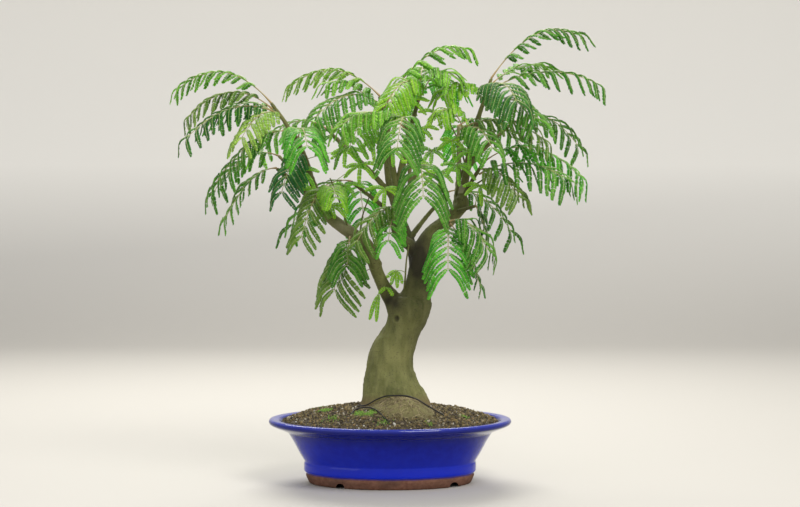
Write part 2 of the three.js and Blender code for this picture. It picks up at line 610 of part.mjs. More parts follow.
function tryLeaf(leaf, leafChoice) {
  const base = leafBase(leaf, LEAF_CHOICES[leafChoice][2]);
  const axis = leafAxis(base, turnedTip(base, leaf, LEAF_CHOICES[leafChoice]), leaf.arch);
  const none = Array.from({ length: leaf.pairs }, () => []);
  if (meets(leafSkin(leaf, axis, none, GAP))) return { lost: Infinity };
  const bare = leafSkin(leaf, axis, none);
  const own = [withBox(bare)];
  const shapes = [];
  let lost = 0;
  for (let pair = 0; pair < leaf.pairs; pair++) {
    shapes.push(
      [false, true].map((right) => {
        const root = rootOf(leaf, axis, pair, right);
        for (let choice = 0; choice < PINNA_CHOICES.length; choice++) {
          const shape = pinnaShape(leaf, axis, pair, right, choice);
          const clearOfRachis = pinnaProbe(root, shape, right, 0.08, false);
          const wide = pinnaProbe(root, shape, right, 0, true);
          const blocked = meets(clearOfRachis, own) || meets(wide);
          clearOfRachis.delete();
          wide.delete();
          if (blocked) continue;
          own.push(withBox(pinnaProbe(root, shape, right, 0, false)));
          if (PINNA_CHOICES[choice][1] < 1) lost += 0.3;
          return shape;
        }
        lost += 1;
        return undefined;
      }),
    );
  }
  return { lost, axis, shapes, own };
}

function leafSolid(leaf) {
  let best = { lost: Infinity };
  for (let choice = 0; choice < LEAF_CHOICES.length && best.lost > 0.4; choice++) {
    const attempt = tryLeaf(leaf, choice);
    if (attempt.lost < best.lost) best = attempt;
  }
  if (!best.axis) throw new Error(`${leaf.name} meets another piece at every turn`);
  placed.push(...best.own);
  return leafSkin(leaf, best.axis, best.shapes);
}

// Materials.
const paint = (color, roughness, metalness = 0) => new THREE.MeshStandardMaterial({ color, roughness, metalness });
const glaze = paint(0x1026b4, 0.15);
const bark = paint(0x78734f, 0.85);
const earth = paint(0x5d4630, 0.95);
const foliage = paint(0x4d9c2e, 0.55);
const wireMetal = paint(0x1c1a17, 0.5, 0.6);
const plastic = paint(0x20241f, 0.7);

// The whole object.
const root = new THREE.Group();
const pot = potSolid();
const trunk = trunkSolid();
const roots = ROOTS.map((entry) => rootSolid(entry));
const branches = branchSolids();
const tree = wasm.Manifold.union([trunk, ...roots, ...branches]);
const meshes = [-POT.drainX, POT.drainX].map(drainMesh);
const wires = Object.entries(WIRES).map(([name, points]) => {
  const sections = points.map((point) => [...point, WIRE_RADIUS]);
  return { name, solid: solidOf(rod(sections, WIRE_SIDES)), sections };
});

let soil = soilSolid();
soil = soil.subtract(trunkSolid(GAP));
for (const entry of ROOTS) soil = soil.subtract(rootSolid(entry, GAP));
for (const x of [-POT.drainX, POT.drainX]) {
  const side = MESH.side + 2 * GAP;
  const pocket = new THREE.BoxGeometry(side, side, 2 * SOIL.bottomClear);
  soil = soil.subtract(solidOf(pocket.translate(x, 0, POT.floorTop + GAP)));
}
for (const wire of wires) {
  const fatter = wire.sections.map(([x, y, z]) => [x, y, z, WIRE_RADIUS + 2 * GAP]);
  fatter.unshift(fatter[0].map((value, i) => (i === 2 ? value - 2 : value)));
  fatter.push(fatter.at(-1).map((value, i) => (i === 2 ? value - 2 : value)));
  soil = soil.subtract(solidOf(rod(fatter, WIRE_SIDES)));
}

placed.push(...[trunk, ...branches, ...wires.map((wire) => wire.solid)].map(withBox));
root.add(meshOf('pot', pot, glaze));
root.add(meshOf('soil', soil, earth));
meshes.forEach((solid, index) => root.add(meshOf(`drain_mesh_${index ? 'right' : 'left'}`, solid, plastic)));
root.add(meshOf('tree', tree, bark));
wires.forEach(({ name, solid }) => root.add(meshOf(name, solid, wireMetal)));

Object.entries(LEAVES).forEach(([name, [twig, back, tip, arch, pairs, pinna, droop]], number) => {
  const leaf = { name, number, twig, back, tip: vector(...tip), arch, pairs, pinna, droop };
  leaf.length = leafAxis(leafBase(leaf), leaf.tip, arch).getLength();
  root.add(meshOf(name, leafSolid(leaf), foliage));
});

const middle = new THREE.Box3().setFromObject(root).getCenter(vector(0, 0, 0));
root.children.forEach((mesh) => mesh.geometry.translate(-middle.x, -middle.y, 0));

export default root;
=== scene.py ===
import math

import bmesh
import bpy
import numpy as np
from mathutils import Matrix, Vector, kdtree, noise
from numpy.linalg import norm


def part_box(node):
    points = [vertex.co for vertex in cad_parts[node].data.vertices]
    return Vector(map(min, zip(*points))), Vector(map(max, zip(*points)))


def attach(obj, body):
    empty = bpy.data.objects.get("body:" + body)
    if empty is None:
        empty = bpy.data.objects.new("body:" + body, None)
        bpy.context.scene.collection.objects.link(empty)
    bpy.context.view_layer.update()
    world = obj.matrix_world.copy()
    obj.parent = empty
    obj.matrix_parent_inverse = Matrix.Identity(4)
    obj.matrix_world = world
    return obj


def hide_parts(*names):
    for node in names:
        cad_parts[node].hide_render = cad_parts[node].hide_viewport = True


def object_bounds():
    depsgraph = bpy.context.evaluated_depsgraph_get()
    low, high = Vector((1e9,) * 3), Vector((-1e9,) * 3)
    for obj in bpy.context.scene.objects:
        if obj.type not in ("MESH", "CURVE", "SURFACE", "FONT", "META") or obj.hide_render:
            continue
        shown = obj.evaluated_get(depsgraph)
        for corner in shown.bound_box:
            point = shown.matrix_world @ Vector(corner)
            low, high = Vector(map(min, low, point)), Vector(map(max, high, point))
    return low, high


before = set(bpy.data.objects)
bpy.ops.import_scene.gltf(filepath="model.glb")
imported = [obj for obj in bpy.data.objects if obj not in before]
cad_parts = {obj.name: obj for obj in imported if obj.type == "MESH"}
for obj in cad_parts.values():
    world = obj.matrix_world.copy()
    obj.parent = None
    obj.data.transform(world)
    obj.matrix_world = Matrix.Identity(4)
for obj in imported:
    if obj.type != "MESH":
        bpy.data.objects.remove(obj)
cad_box = [list(corner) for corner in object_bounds()]
pot_low, pot_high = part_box("pot")
MIDDLE = np.array([(pot_low[0] + pot_high[0]) / 2, (pot_low[1] + pot_high[1]) / 2, 0.0])
random = np.random.default_rng(11)
# How far in from a side of the solids' box the finer pieces may be drawn in, in metres.
DRAWN_IN = 0.016

# The camera: its place, then the horizon's height and the focal length in pixels of an 800 x 507 picture.
CAMERA = (16.4, -2874, 465)
PICTURE = (800, 507)
HORIZON = 200
FOCAL = 1750

# Lights: place, target, size, power and colour, in metres and watts.
LIGHTS = {
    "key": [(1.0, -1.8, 2.3), (0, 0, 0.4), (1.3, 1.1), 64, (1.0, 0.98, 0.94)],
    "fill": [(-2.0, -1.8, 1.2), (0, 0, 0.35), (1.8, 1.4), 8, (0.94, 0.97, 1.0)],
    "back": [(-0.3, 1.7, 2.2), (0, 0, 0.5), (2.2, 1.2), 84, (1.0, 0.99, 0.93)],
}
SKY = (0.90, 0.91, 0.92)
SKY_STRENGTH = 0.78

# Pot.
POT_LENGTH = 200
POT_WIDTH = 152
NARROWER = POT_LENGTH - POT_WIDTH
POT_SIDES = 168
POT_OUTSIDE = [
    (121, 10), (124, 0), (133, 0), (139, 13), (137.5, 17), (142, 20), (142, 33), (140.5, 36),
    (149, 50), (159, 69), (169, 85), (194, 95), (199, 98), (200, 102), (197, 106),
]
POT_INSIDE = [(183, 105), (180, 100), (161, 84), (141, 50), (132, 30), (120, 20)]
GLAZE_FROM = 17.5
NOTCHES = [-80, 104]
NOTCH_WIDTH = 14
NOTCH_HEIGHT = 9
DRAIN_X = 62
DRAIN_RADIUS = 11
WIRE_HOLES = (84, 22, 3)

# Soil.
SOIL_EDGE = 101
SOIL_RISE = 26
SOIL_SIDE = 179
# Half lengths of the dome that the soil's top follows, and the soil's skin in the pot, down to its floor.
SOIL_DOME = (180, 132)
SOIL_UNDERSIDE = [(160.3, 84), (140.3, 50), (131.3, 30), (119, 21.6)]
# Round the trunk's foot, no grain lies within this distance.
TRUNK_FOOT = (8, 1)
TRUNK_CLEAR = 55
# The root pad in front of the trunk. It leans to the right towards the front.
PAD_MIDDLE = (18, -54)
PAD_HALVES = (60, 44)
PAD_HEIGHT = 23
PAD_LEAN = 0.35
GRAINS = 6200
# Patches of moss: middle, spread and number of tufts.
MOSS = [
    ((-107, -24), 10, 260), ((-50, -70), 10, 250), ((-33, -74), 9, 210), ((-92, -78), 12, 90),
    ((-10, -106), 12, 70), ((62, -104), 8, 40), ((120, -56), 10, 50), ((-120, 40), 14, 130),
    ((70, 92), 14, 130),
]

# Trunk and roots, then the limbs, as x, y, z and radius.
TRUNK = [
    (8, 2, 66, 26), (8, 2, 84, 46), (8, 2, 104, 59), (8, 1, 122, 58), (8, 0, 134, 54.5), (6, 0, 147, 51.5),
    (3, 0, 160, 48), (1, 1, 173, 43), (0, 2, 188, 38.5), (2, 3, 208, 37), (8, 3, 229, 36), (17, 2, 246, 33.5),
    (26, 0, 263, 32.5), (31, -2, 279, 34.3), (34, -3, 295, 34.5), (36, -3, 306, 27),
]
ROOTS = [(18, 78), (110, 50), (172, 80), (290, 54)]
LIMBS = {
    "right_limb": [
        (35, -2, 284, 30), (43, -2, 309, 25), (46, -1, 335, 18.6), (50, 0, 362, 16.5), (55, 2, 385, 16),
        (68, 4, 407, 14.5), (90, 6, 427, 12.5), (110, 8, 446, 11), (121, 8, 459, 9.5), (116, 6, 472, 8.5),
    ],
    "left_limb": [
        (20, -4, 280, 24), (3, -5, 303, 14.5), (-11, -6, 325, 10.6), (-20, -6, 345, 10), (-28, -8, 368, 10.8),
        (-38, -10, 390, 11.2), (-62, -14, 410, 10.6), (-90, -16, 430, 9.6), (-114, -14, 452, 8.2),
        (-140, -10, 480, 6.4), (-164, -14, 500, 4.6), (-184, -26, 516, 2.8),
    ],
    "middle_limb": [
        (50, 2, 364, 12), (36, 4, 388, 10), (16, 4, 404, 9), (8, 2, 432, 8.2), (12, 0, 470, 7.2),
        (20, 4, 520, 6), (30, 4, 570, 4.6), (42, 0, 612, 3.4), (50, -4, 645, 2.6),
    ],
    "back_limb": [
        (46, 6, 334, 13), (40, 34, 372, 10), (24, 66, 418, 8), (4, 92, 468, 6.4), (-6, 112, 524, 5),
        (-4, 126, 580, 3.6), (0, 138, 622, 2.6),
    ],
    "tall_limb": [
        (116, 8, 456, 8), (124, 7, 500, 6.4), (132, 4, 545, 5.4), (142, 2, 590, 4.2), (156, 0, 634, 3.2),
        (166, -2, 664, 2.6),
    ],
    "far_left": [
        (-112, -14, 450, 7), (-128, -2, 496, 5.8), (-148, 8, 548, 4.6), (-172, 8, 592, 3.4),
        (-195, 5, 624, 2.6),
    ],
    "near_left": [(-126, -3, 490, 4.4), (-136, -34, 532, 3.4), (-153, -66, 572, 2.5)],
    "left_front": [(-112, -14, 450, 4.2), (-104, -42, 470, 3.2), (-100, -62, 486, 2.5)],
    "left_low": [(-58, -12, 408, 4), (-64, -28, 403, 3.2), (-68, -42, 397, 2.5)],
    "top_left": [(13, 0, 474, 5.6), (2, 2, 530, 4.6), (-10, 0, 588, 3.5), (-17, -4, 634, 2.6)],
    "front_high": [(10, 0, 440, 5.2), (22, -38, 464, 4.4), (36, -80, 494, 3.5), (46, -116, 516, 2.5)],
    "front_top": [(33, -71, 488, 3.6), (30, -94, 540, 3), (26, -112, 588, 2.4)],
    "front_low": [(8, 1, 424, 4.2), (12, -44, 438, 3.3), (16, -88, 453, 2.5)],
    "right_low": [(86, 4, 424, 4.4), (94, -28, 430, 3.4), (97, -56, 431, 2.5)],
    "right_mid": [(117, 6, 462, 4.6), (134, -10, 496, 3.5), (152, -28, 526, 2.5)],
    "right_inner": [(132, 2, 548, 3.9), (124, -34, 564, 3.1), (115, -64, 578, 2.4)],
    "right_stub": [(108, 4, 446, 3.6), (128, -22, 452, 2.9), (138, -36, 455, 2.4)],
    "right_back": [(128, 6, 520, 4.4), (162, 24, 556, 3.4), (200, 40, 590, 2.5)],
    "back_right": [(108, 8, 446, 5.8), (114, 48, 500, 4.6), (116, 92, 552, 3.5), (116, 120, 590, 2.5)],
    "back_low_right": [(32, 52, 400, 5), (62, 82, 438, 3.7), (98, 106, 478, 2.5)],
    "back_low_left": [(18, 72, 430, 5), (-22, 86, 462, 3.6), (-66, 94, 496, 2.5)],
    "back_left": [(2, 94, 474, 5.2), (-42, 106, 522, 4), (-80, 110, 558, 3.1), (-108, 112, 586, 2.5)],
    "left_back": [(-138, -10, 478, 4.8), (-160, 32, 512, 3.6), (-186, 64, 538, 2.5)],
}
# These are fused with the trunk. The others are thin tubes.
HEAVY = ["right_limb", "left_limb", "middle_limb", "back_limb", "tall_limb"]
BARK_GRID = 1.7
# Knots: middle, radii across and up, depth, and whether it is a hollow, painted dark inside with painted
# shade.
KNOTS = [
    ((11, -36, 272), (5, 6), 2.6, True),
    ((-15, -22, 362), (5, 5), -1.6, False),
    ((46, -28, 330), (6, 7), -1.2, False),
]
# Soft blots on the bark, as middle and spread in x and z: painted shade in the fork and inside the right
# limb, and a pale stretch on the left limb; then the pale cut on the right limb's knob.
FORK_SHADE = ((5, 301), (21, 17))
INNER_SHADE = ((46, 366), (22, 48))
PALE_STRETCH = ((-76, 420), (24, 18))
CUT = (115, 482)
CUT_RADIUS = 9
CUT_FROM = 476
# The saddle of wood between the limbs, and thin bare twigs, each a line with its radius or end radii.
SADDLE = ([(5, -4, 303), (16, -4, 303), (28, -4, 303)], 9.5)
SPROUTS = [
    ([(22, -10, 306), (25, -12, 338), (27, -12, 366), (31, -8, 392)], 1.7, 1.2),
    ([(-24, -14, 350), (-34, -22, 352), (-42, -26, 346), (-44, -26, 336), (-39, -26, 330)], 0.7, 0.4),
    ([(108, 4, 474), (118, -14, 512), (132, -30, 560), (142, -34, 600)], 2.0, 1.2),
    ([(118, -14, 512), (146, -30, 546), (176, -36, 566)], 1.5, 1.0),
    ([(128, -6, 482), (158, -24, 502), (182, -34, 514)], 1.5, 1.0),
    ([(124, 0, 520), (112, -20, 560), (96, -34, 592)], 1.6, 1.0),
    ([(-66, -14, 412), (-76, -34, 444), (-88, -52, 482), (-96, -60, 500)], 1.7, 1.0),
    ([(-50, -14, 402), (-44, -40, 440), (-30, -58, 478)], 1.6, 0.9),
    ([(-4, 2, 552), (-26, -20, 574), (-32, -34, 602)], 1.5, 0.9),
    ([(20, 4, 520), (46, -24, 548), (62, -34, 586)], 1.6, 1.0),
]

# Leaves: place from the twig's end, tip, rise of the arch, pairs of pinnae, longest pinna, droop and colour.
LEAVES = {
    "far_left_1": (0, (-346, 15, 650), 74, 9, 50, 0.75, "light"),
    "far_left_2": (8, (-324, -34, 602), 64, 9, 54, 0.8, "olive"),
    "far_left_3": (16, (-322, -78, 566), 52, 9, 50, 0.95, "dark"),
    "far_left_4": (24, (-236, -88, 562), 40, 8, 48, 0.9, "pale"),
    "near_left_1": (0, (-278, -92, 490), 58, 9, 64, 0.8, "mid"),
    "near_left_2": (9, (-126, -186, 546), 44, 9, 68, 1.0, "bright"),
    "near_left_3": (36, (-172, -98, 474), 30, 8, 48, 1.1, "blue"),
    "left_tip_1": (0, (-264, -48, 438), 40, 8, 50, 0.6, "mid"),
    "left_front_1": (0, (-140, -112, 404), 40, 9, 50, 0.9, "olive"),
    "left_front_2": (9, (-84, -140, 468), 26, 7, 44, 1.1, "lime"),
    "left_low_1": (0, (-90, -66, 318), 16, 8, 76, 1.3, "olive"),
    "left_low_2": (9, (-68, -84, 344), 14, 7, 56, 1.2, "mid"),
    "top_left_1": (0, (-156, 2, 656), 62, 9, 56, 0.7, "pale"),
    "top_left_2": (9, (-130, -112, 594), 46, 9, 60, 0.75, "mid"),
    "top_left_3": (18, (118, -12, 712), 62, 9, 54, 0.8, "light"),
    "tall_1": (0, (302, 10, 738), 64, 9, 54, 0.7, "mid"),
    "tall_2": (9, (256, 64, 688), 26, 9, 52, 0.5, "light"),
    "tall_3": (18, (336, -26, 654), 48, 9, 60, 0.9, "mid"),
    "tall_4": (27, (198, -152, 618), 46, 9, 68, 1.1, "dark"),
    "front_high_1": (0, (52, -208, 468), 42, 9, 84, 1.15, "mid"),
    "front_top_1": (0, (12, -212, 542), 44, 9, 70, 1.1, "mid"),
    "front_top_2": (9, (-72, -190, 580), 44, 9, 56, 0.85, "light"),
    "front_low_1": (0, (-52, -146, 412), 36, 8, 56, 1.15, "olive"),
    "front_low_2": (9, (-2, -168, 414), 26, 7, 44, 1.1, "bright"),
    "right_mid_1": (0, (300, -60, 508), 66, 9, 76, 1.1, "bright"),
    "right_mid_2": (10, (204, -100, 470), 28, 8, 50, 1.2, "olive"),
    "right_low_1": (0, (156, -92, 386), 36, 8, 74, 1.3, "mid"),
    "right_low_2": (9, (92, -122, 354), 22, 8, 70, 1.2, "bright"),
    "right_low_3": (20, (146, -52, 326), 24, 8, 34, 0.9, "dark"),
    "right_stub_1": (0, (156, -42, 424), 8, 5, 38, 0.9, "dark"),
    "right_inner_1": (0, (242, -104, 562), 44, 9, 58, 0.8, "olive"),
    "right_inner_2": (9, (160, -156, 558), 36, 7, 50, 1.0, "mid"),
    "middle_1": (0, (-4, -104, 616), 46, 9, 56, 1.0, "lime"),
    "middle_2": (9, (60, 118, 676), 56, 8, 56, 0.8, "light"),
    "tall_5": (36, (86, -58, 634), 40, 8, 54, 0.8, "lime"),
    "top_left_4": (27, (-64, -104, 548), 40, 8, 54, 0.9, "light"),
    "right_inner_3": (18, (74, -104, 604), 34, 7, 48, 0.9, "lime"),
    "tall_6": (45, (230, -124, 606), 40, 8, 60, 0.9, "mid"),
    "right_mid_3": (20, (272, -112, 488), 40, 8, 74, 1.2, "mid"),
    "middle_3": (18, (98, -72, 664), 46, 7, 52, 0.8, "light"),
    "top_left_5": (36, (-94, -58, 640), 40, 7, 52, 0.8, "light"),
    "far_left_5": (32, (-290, 112, 606), 52, 7, 54, 0.8, "mid"),
    "back_left_1": (0, (-226, 172, 552), 58, 7, 60, 0.8, "light"),
    "back_left_2": (9, (-106, 240, 578), 58, 7, 60, 0.8, "mid"),
    "back_top_1": (0, (14, 262, 612), 62, 7, 60, 0.8, "light"),
    "back_top_2": (9, (112, 204, 660), 58, 7, 56, 0.8, "bright"),
    "back_right_1": (0, (236, 190, 552), 60, 7, 60, 0.8, "mid"),
    "back_right_2": (9, (128, 254, 548), 56, 7, 60, 0.8, "bright"),
    "back_low_right_1": (0, (210, 168, 410), 52, 7, 60, 0.8, "mid"),
    "back_low_left_1": (0, (-172, 160, 420), 52, 7, 60, 0.8, "mid"),
    "back_low_left_2": (9, (-48, 216, 430), 50, 7, 58, 0.8, "bright"),
    "right_back_1": (0, (318, 92, 556), 62, 7, 60, 0.8, "mid"),
    "left_back_1": (0, (-300, 96, 478), 56, 7, 60, 0.8, "mid"),
}
# A leaf sits on the twig or limb that it is named after, except for these.
TWIGS = {"left_tip": "left_limb", "tall": "tall_limb", "middle": "middle_limb", "back_top": "back_limb"}
# Young leaves in the fork: the foot and head of each stalk, and the tips of its pinnae.
YOUNG_LEAVES = {
    "young_leaf_1": [
        (26, -13, 346), (11, -18, 350), [(-4, -24, 340), (2, -30, 329), (20, -30, 331), (12, -32, 324)],
    ],
    "young_leaf_2": [(0, -19, 314), (-5, -25, 322), [(-17, -28, 314), (4, -30, 311)]],
    "young_leaf_3": [(-9, -17, 324), (-18, -26, 312), [(-33, -32, 272), (-22, -33, 269)]],
}
# Where the soft young shoots inside the crown have their heads, and the headings of their pinnae in degrees.
SHOOT_FAN = range(-115, 114, 57)
YOUNG_HEADS = [
    (-144, -50, 513), (-115, -60, 481), (-96, -55, 457), (-72, -50, 489), (-48, -50, 521), (-29, -60, 562),
    (4, -50, 545), (13, -60, 597), (49, -40, 581), (68, -50, 545), (82, -45, 510), (100, -50, 561),
    (108, -60, 521), (-8, -60, 484), (-72, -40, 545), (129, -60, 545), (32, -40, 626), (76, -40, 606),
    (-40, -50, 597), (145, -50, 489), (41, -60, 521),
]
# The blades' colours, shaded and lit, in linear light.
TONES = {
    "light": ((0.138, 0.44, 0.026), (0.414, 0.81, 0.095)),
    "pale": ((0.235, 0.51, 0.053), (0.580, 0.82, 0.168)),
    "lime": ((0.193, 0.56, 0.021), (0.497, 0.82, 0.074)),
    "bright": ((0.069, 0.41, 0.026), (0.221, 0.76, 0.063)),
    "mid": ((0.062, 0.28, 0.023), (0.207, 0.56, 0.063)),
    "olive": ((0.110, 0.27, 0.032), (0.304, 0.51, 0.084)),
    "dark": ((0.025, 0.15, 0.023), (0.097, 0.37, 0.053)),
    "blue": ((0.028, 0.18, 0.047), (0.097, 0.40, 0.095)),
}
# What all leaves share: the gap to the twig, the axis and the twist of the pinnae.
GAP = 0.35
PETIOLE_RADIUS = 1.7
TIP_RADIUS = 1.1
PETIOLE_SHARE = 0.17
ROOT_WIDTH = 3
TWIST = 0.35
# The stretches of a pinna, as how far it has come to hang and the share of its length.
STRETCHES = [(0.15, 0.4), (1.7, 0.6)]
PINNA_MIDDLE = 0.9
# What a leaf may take: turn and lift of its tip, and its place round the twig. A pinna: its bend and length.
LEAF_CHOICES = [
    (0, 0, 0), (0, 0, 50), (0, 0, -50), (7, 0, 25), (-7, 0, -25), (0, 14, 0), (0, -14, 0), (14, 0, 60),
    (-14, 0, -60), (0, 14, 110), (0, 14, -110), (-24, 0, 0), (24, 0, 0),
]
PINNA_CHOICES = [(0, 1), (11, 1), (-11, 1), (22, 1), (-22, 1), (0, 0.7), (18, 0.7), (-18, 0.7), (0, 0.45)]
# A corner of a solid that lies this close to a point is that point.
SAME_POINT = 0.12

# Leaflets: their spacing on a pinna, and the outline of one along and across, from its base round its tip.
LEAFLET_PITCH = 2.9
LEAFLET_RIM = [(0, 0), (0.14, 0.40), (0.60, 0.52), (1, 0.16), (0.80, -0.32), (0.32, -0.46)]
LEAFLET_RIB = [(0.3, 0.06), (0.72, 0.12)]
# How far each of these points lies over the leaflet's plane.
LEAFLET_KEEL = [0.0, 0.08, 0.10, -0.20, 0.08, 0.10, -0.06, -0.08, -0.06, -0.08]
LEAFLET_THICKNESS = 0.22
LEAFLET_REACH = 5.9
LEAFLET_OVERLAP = 1.4
# The shares of a pinna where its leaflets start and end, and how long they are at some shares.
LEAFLET_ENDS = (0.06, 0.985)
LEAFLET_LENGTHS = ([0.06, 0.2, 0.7, 0.93, 1.0], [0.62, 1.0, 1.0, 0.72, 0.5])
CURVE_POINTS = 60

# Tie wires.
WIRE_RADIUS = 1.1
WIRES = {
    "tie_wire_long": [
        (-70, -8, 106), (-66, -12, 122), (-53, -27, 129), (-37, -44, 133), (-21, -50, 142.5),
        (-5, -55, 148.5), (11, -57, 149.5), (27, -58, 149), (43, -58.5, 144), (59, -59, 134.6),
        (75, -60, 125), (86, -70, 119.3), (91, -82, 108),
    ],
    "tie_wire_short": [
        (-66, -78, 106), (-61, -70, 121.5), (-51, -50, 128), (-38, -53, 130), (-26, -66, 129.3),
        (-18, -77, 125.8), (-10, -94, 119.5), (-3, -107, 114), (-1, -111, 102),
    ],
}

UP = np.array([0.0, 0.0, 1.0])


# Vectors and curves.
def unit(v):
    return v / norm(v)


def turned(v, axis, angle):
    axis = unit(axis)
    cos, sin = math.cos(angle), math.sin(angle)
    return v * cos + np.cross(axis, v) * sin + np.multiply.outer(v @ axis, axis) * (1 - cos)


def carried(v, start, end):
    """v, turned as the shortest turn from start to end turns it."""
    axis = np.cross(start, end)
    size = norm(axis)
    return v.copy() if size < 1e-9 else turned(v, axis, math.atan2(size, start @ end))


def spline(points, count):
    """count points along a smooth curve. Further columns, such as a radius, come along."""
    points = np.asarray(points, float)
    steps = norm(np.diff(points[:, :3], axis=0), axis=1)
    at = np.concatenate([[0], np.cumsum(steps)])
    slopes = np.gradient(points, at, axis=0)
    wanted = np.linspace(0, at[-1], count)
    low = np.clip(np.searchsorted(at, wanted, side="right") - 1, 0, len(at) - 2)
    span = (at[low + 1] - at[low])[:, None]
    t = (wanted - at[low])[:, None] / span
    curve = (
        (2 * t**3 - 3 * t**2 + 1) * points[low]
        + (t**3 - 2 * t**2 + t) * span * slopes[low]
        + (3 * t**2 - 2 * t**3) * points[low + 1]
        + (t**3 - t**2) * span * slopes[low + 1]
    )
    if points.shape[1] > 3:
        curve[:, 3] = np.interp(wanted, at, points[:, 3])
    return curve


def units(rows):
    return rows / norm(rows, axis=1)[:, None]


def headings(points):
    return units(np.gradient(points, axis=0))


def around(count):
    """count angles, evenly round a circle."""
    return np.arange(count) * 2 * math.pi / count


def oval(reach, height, angles):
    """A level ring with the pot's outline, reach being half its length."""
    across, deep = reach * np.cos(angles), (reach - NARROWER) * np.sin(angles)
    return np.stack([across, deep, np.full(len(angles), height)], 1)


def bands(rings, sides):
    """The faces between rings of points that follow each other."""
    faces = []
    for ring in range(rings - 1):
        for i in range(sides):
            a, b = ring * sides + i, ring * sides + (i + 1) % sides
            faces.append((a, b, b + sides, a + sides))
    return faces


def capped(rings, sides):
    """The same, closed by fans around two middle points that come after the rings."""
    faces = bands(rings, sides)
    end = rings * sides
    for i in range(sides):
        j = (i + 1) % sides
        faces.append((end, j, i))
        faces.append((end + 1, end - sides + i, end - sides + j))
    return faces


def tube(points, radii, sides):
    """The points and faces of a closed round tube along a curve."""
    points = np.asarray(points, float)
    radii = np.broadcast_to(radii, len(points))
    along = headings(points)
    side = np.cross(along[0], UP if abs(along[0] @ UP) < 0.9 else np.array([0.0, 1.0, 0.0]))
    angles = around(sides)
    rings = []
    for centre, heading, radius in zip(points, along, radii):
        side = unit(side - heading * (side @ heading))
        other = np.cross(heading, side)
        rings.append(centre + radius * (np.outer(np.cos(angles), side) + np.outer(np.sin(angles), other)))
    return np.vstack(rings + [points[:1], points[-1:]]), capped(len(points), sides)


# Pieces.
def place(points):
    return np.asarray(points, float) / 1000 + MIDDLE


def inside_box(points):
    """The points, with those near a side of the solids' box drawn in where some would stand out of it."""
    for axis in range(3):
        for way, limit in ((-1, cad_box[0][axis]), (1, cad_box[1][axis])):
            past = (points[:, axis] - limit) * way
            over = past.max()
            near = past > -DRAWN_IN
            if over > 0:
                inward = (past[near] + DRAWN_IN) * DRAWN_IN / (DRAWN_IN + over)
                points[near, axis] = limit + way * (inward - DRAWN_IN)
    return points


class Shape:
    """Points and faces gathered for one piece, with a material slot a face and a tone a point."""

    def __init__(self):
        self.points, self.faces, self.slots, self.tones, self.count = [], [], [], [], 0

    def add(self, points, faces, slot=0, tone=0.5):
        self.points.append(points)
        self.faces.extend((np.asarray(faces) + self.count).tolist() if isinstance(faces, np.ndarray)
                          else [tuple(i + self.count for i in face) for face in faces])
        self.slots.extend([slot] * len(faces))
        self.tones.append(np.broadcast_to(tone, len(points)))
        self.count += len(points)

    def piece(self, name, materials, replaced=(), smooth=True):
        mesh = bpy.data.meshes.new(name)
        mesh.from_pydata(inside_box(place(np.vstack(self.points))).tolist(), [], self.faces)
        mesh.polygons.foreach_set("material_index", self.slots)
        mesh.polygons.foreach_set("use_smooth", [smooth] * len(self.faces))
        mesh.attributes.new("tone", "FLOAT", "POINT").data.foreach_set("value", np.concatenate(self.tones))
        return finished(name, mesh, materials, replaced)


def linked(name, data):
    """A new object in the scene, for a mesh, a camera or a light."""
    made = bpy.data.objects.new(name, data)
    bpy.context.scene.collection.objects.link(made)
    return made


def finished(name, mesh, materials, replaced=()):
    for material in materials:
        mesh.materials.append(material)
    mesh.update()
    made = linked(name, mesh)
    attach(made, "root")
    if replaced:
        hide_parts(*replaced)
    return made


